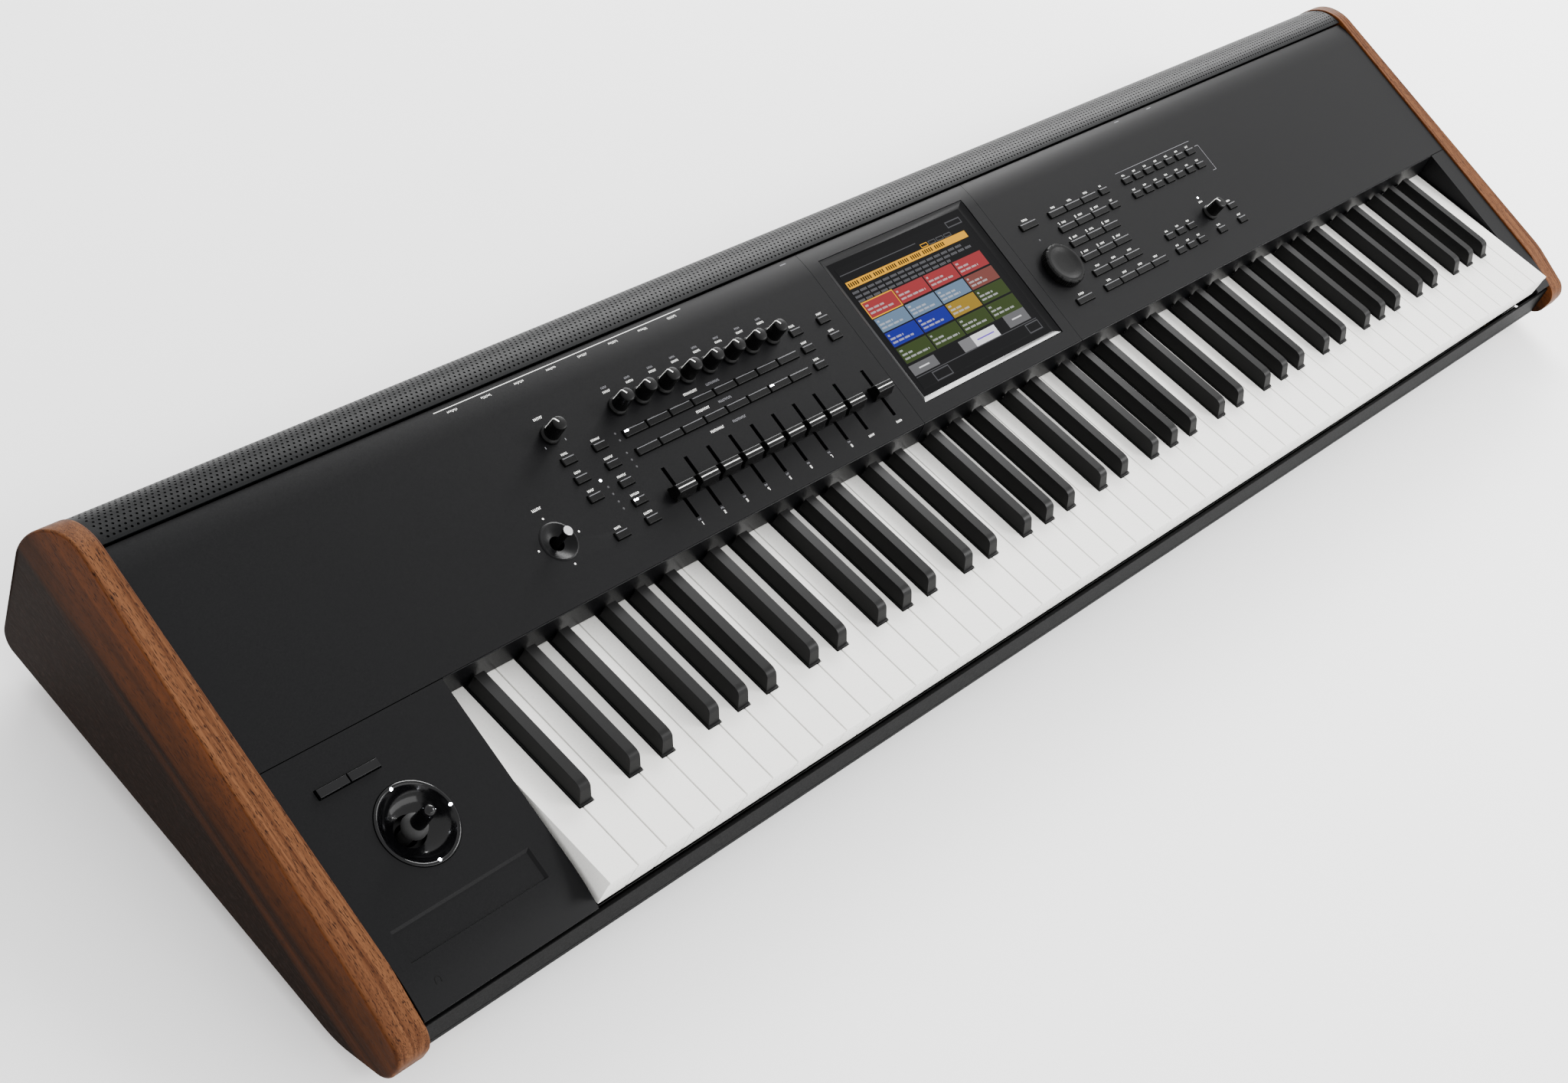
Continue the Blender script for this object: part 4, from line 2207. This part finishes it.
@dataclass(frozen=True)
class Screws:
    """Cross-head screws, one head repeated at every place by Geometry Nodes."""

    radius: float = 2.9
    height: float = 1.5
    rear_heights: Flat = (-50.0, 17.0)
    under_depths: Point = (60.0, 190.0, 300.0)

    def head(self) -> Piece:
        """A pan head with a cross recess, its axis along Z.

        Returns:
            The head.
        """
        shape = Shape()
        n = 24
        rings = []
        for r, h in ((self.radius, -0.6), (self.radius, 0.4), (self.radius * 0.85, 1.1),
                     (self.radius * 0.55, self.height)):
            rings.append([(r * math.cos(2 * math.pi * k / n), r * math.sin(2 * math.pi * k / n), h)
                          for k in range(n)])
        shape.loft(rings)
        piece = shape.object("screw_head", [])
        cross = [Shape().prism(box_outline(0, 0, *size), 0.3, 2.0, along_z)
                 for size in ((2.6, 0.7), (0.7, 2.6))]
        cut(piece, cross)
        for vertex in piece.data.vertices:
            vertex.co -= ORIGIN
        return piece

    def tree(self) -> Tree:
        """Geometry Nodes that put a head on every point and dress it.

        Returns:
            The tree.
        """
        inputs = {"Places": "Geometry", "Head": "Object", "Turn": "Vector", "Finish": "Material"}
        tree, given = repeater("screw_heads", inputs, "Heads")
        head = add_node(tree, "GeometryNodeObjectInfo", {"Object": given["Head"]})
        turned = add_node(tree, "FunctionNodeEulerToRotation", {"Euler": given["Turn"]}).outputs[0]
        copies = add_node(
            tree, "GeometryNodeInstanceOnPoints",
            {"Points": given["Places"], "Instance": head.outputs["Geometry"], "Rotation": turned},
        ).outputs[0]
        real = add_node(tree, "GeometryNodeRealizeInstances", {"Geometry": copies}).outputs[0]
        dressed = add_node(
            tree, "GeometryNodeSetMaterial", {"Geometry": real, "Material": given["Finish"]}
        ).outputs[0]
        add_node(tree, "NodeGroupOutput", {"Heads": dressed})
        return tree

    def spread(self, name: str, places: Sequence[Point], turn: Point,
               head: Piece, tree: Tree) -> None:
        """Makes one piece of screws.

        Args:
            name: The piece's name.
            places: The screws' places.
            turn: Rotation of the heads.
            head: The head to repeat.
            tree: The tree that repeats it.
        """
        mesh = bpy.data.meshes.new(name)
        mesh.from_pydata([world(place) for place in places], [], [])
        piece = linked(name, mesh)
        repeat(piece, tree, {"Head": head, "Turn": turn, "Finish": ZINC.material()})
        install(smooth(piece, 40), Body.CASE.value, Slot.STEEL)

    def build(self) -> None:
        """Makes the rear and the underside screws."""
        head = self.head()
        tree = self.tree()
        rear = [(x, REAR_FACE_Y, z) for x in range(-110, 1240, 150) for z in self.rear_heights]
        under = [(x, y, FLOOR_Z) for x in range(-100, 1230, 190) for y in self.under_depths]
        self.spread("rear_screws", rear, (-math.pi / 2, 0.0, 0.0), head, tree)
        self.spread("underside_screws", under, (math.pi, 0.0, 0.0), head, tree)
        bpy.data.objects.remove(head, do_unlink=True)


@dataclass(frozen=True)
class Underside:
    """Rubber feet with brass rings, the bottom case and the parts inside."""

    feet: tuple[tuple[str, float, float], ...] = (
        ("foot_front_left", -99.0, 16.0), ("foot_front_right", 1213.0, 16.0),
        ("foot_rear_left", -99.0, 312.0), ("foot_rear_right", 1213.0, 312.0),
    )

    def foot(self, node: str, x: float, y: float) -> None:
        """Makes one turned foot.

        Args:
            node: The CAD node that it stands for.
            x: X of its middle.
            y: Y of its middle.
        """
        def place(u: float, v: float, w: float) -> Point:
            """Local axes of the foot."""
            return (x + u, y + v, GROUND_Z + w)

        shape = Shape()
        profile = [(0.02, 0.0), (10.3, 0.0), (11.4, 0.4), (12.0, 1.3), (12.4, 6.0), (12.5, 7.6),
                   (12.5, 13.6), (0.02, 13.6)]
        shape.turned(profile, 64, place)
        ring = [(12.6, 8.4), (13.6, 8.6), (14.0, 9.2), (14.0, 13.2), (13.6, 13.6), (12.6, 13.6)]
        shape.turned(ring, 64, place, 1, closed=True)
        piece = shape.object(f"{node}_turned", [RUBBER, BRASS])
        install(smooth(piece, 40), Body.CASE.value, Slot.RUBBER, [node])

    def build(self) -> None:
        """Makes the feet and dresses the nodes that stay as they are."""
        for node, x, y in self.feet:
            self.foot(node, x, y)
        carried("bottom_case", POWDER)
        kept = {
            "keybed_frame": FRAME_COAT, "main_board": SOLDER_MASK, "power_supply": ZINC,
            "joystick_gimbal": BUTTON_PLASTIC, "vector_gimbal": BUTTON_PLASTIC,
        }
        for node, finish in kept.items():
            mesh = frame["nodes"][node].data
            mesh.materials.clear()
            mesh.materials.append(finish.material())


# ---------------------------------------------------------------- studio


@dataclass(frozen=True)
class Lamp:
    """A soft panel of light, aimed at a place."""

    name: str
    place: Point
    aim: Point
    size: Flat
    power: float

    def build(self) -> Piece:
        """Makes the lamp.

        Returns:
            The lamp.
        """
        data = bpy.data.lights.new(self.name, "AREA")
        data.shape = "RECTANGLE"
        data.size, data.size_y = self.size
        data.energy = self.power
        made = linked(self.name, data)
        made.location = self.place
        direction = Vector(self.aim) - Vector(self.place)
        made.rotation_euler = direction.to_track_quat("-Z", "Y").to_euler()
        return made


@dataclass(frozen=True)
class Studio:
    """Pale sweep, soft lamps, even surroundings and the camera."""

    floor: str = "#fbfbfb"
    surroundings: float = 1.9
    reach: float = 9.0
    camera: Point = (-763.24, -359.26, 1050.02)
    lens: float = 54.25

    def build(self) -> None:
        """Makes the whole studio."""
        mesh = bpy.data.meshes.new("floor")
        z = world((0, 0, GROUND_Z)).z
        side = 2 * self.reach
        corners = [(u, v, z) for u, v in box_outline(0, 0, side, side)]
        mesh.from_pydata(corners, [], [(0, 1, 2, 3)])
        floor = linked("floor", mesh)
        mesh.materials.append(
            Finish("white_paper_sweep", self.floor, 0.85, specular=0.1, relief=0.001,
                   unevenness=0.005).material()
        )
        lamps = [
            Lamp("rear_softbox", (2.2, 1.95, 1.5), (0.0, 0.1, 0.0), (2.2, 1.2), 230.0),
            Lamp("front_strip", (0.2, -2.2, 0.9), (0.0, 0.0, 0.0), (3.4, 0.8), 38.0),
            Lamp("side_softbox", (2.1, -1.25, 1.95), (0.0, -0.1, 0.0), (1.2, 0.8), 90.0),
        ]
        made = [lamp.build() for lamp in lamps]
        world_light = bpy.data.worlds.new("surroundings")
        world_light.use_nodes = True
        background = world_light.node_tree.nodes["Background"]
        background.inputs["Color"].default_value = (1.0, 1.0, 1.0, 1.0)
        background.inputs["Strength"].default_value = self.surroundings
        bpy.context.scene.world = world_light
        self.place_camera()

    def place_camera(self) -> None:
        """Puts the camera in front of the left end, looking down along the keys."""
        data = bpy.data.cameras.new("camera")
        data.lens = self.lens
        data.sensor_width = 36.0
        made = linked("camera", data)
        turn = Matrix((
            (0.648529, 0.355054, -0.673310),
            (-0.685940, 0.656072, -0.314731),
            (0.329994, 0.665963, 0.669028),
        )).to_4x4()
        made.matrix_world = Matrix.Translation(world(self.camera)) @ turn
        bpy.context.scene.camera = made


def main() -> None:
    """Builds the whole instrument and its studio."""
    logging.basicConfig(level=logging.INFO, format="%(message)s")
    builders = (
        Keyboard(), Cheeks(), TopPanels(), EndBlocks(), FrontWork(), Grille(), Buttons(),
        Sliders(), Knobs(), ValueDial(), Joysticks(), Display(), Printing(), Rear(), Screws(),
        Underside(), Studio(),
    )
    for builder in builders:
        builder.build()


if __name__ == "__main__":
    main()
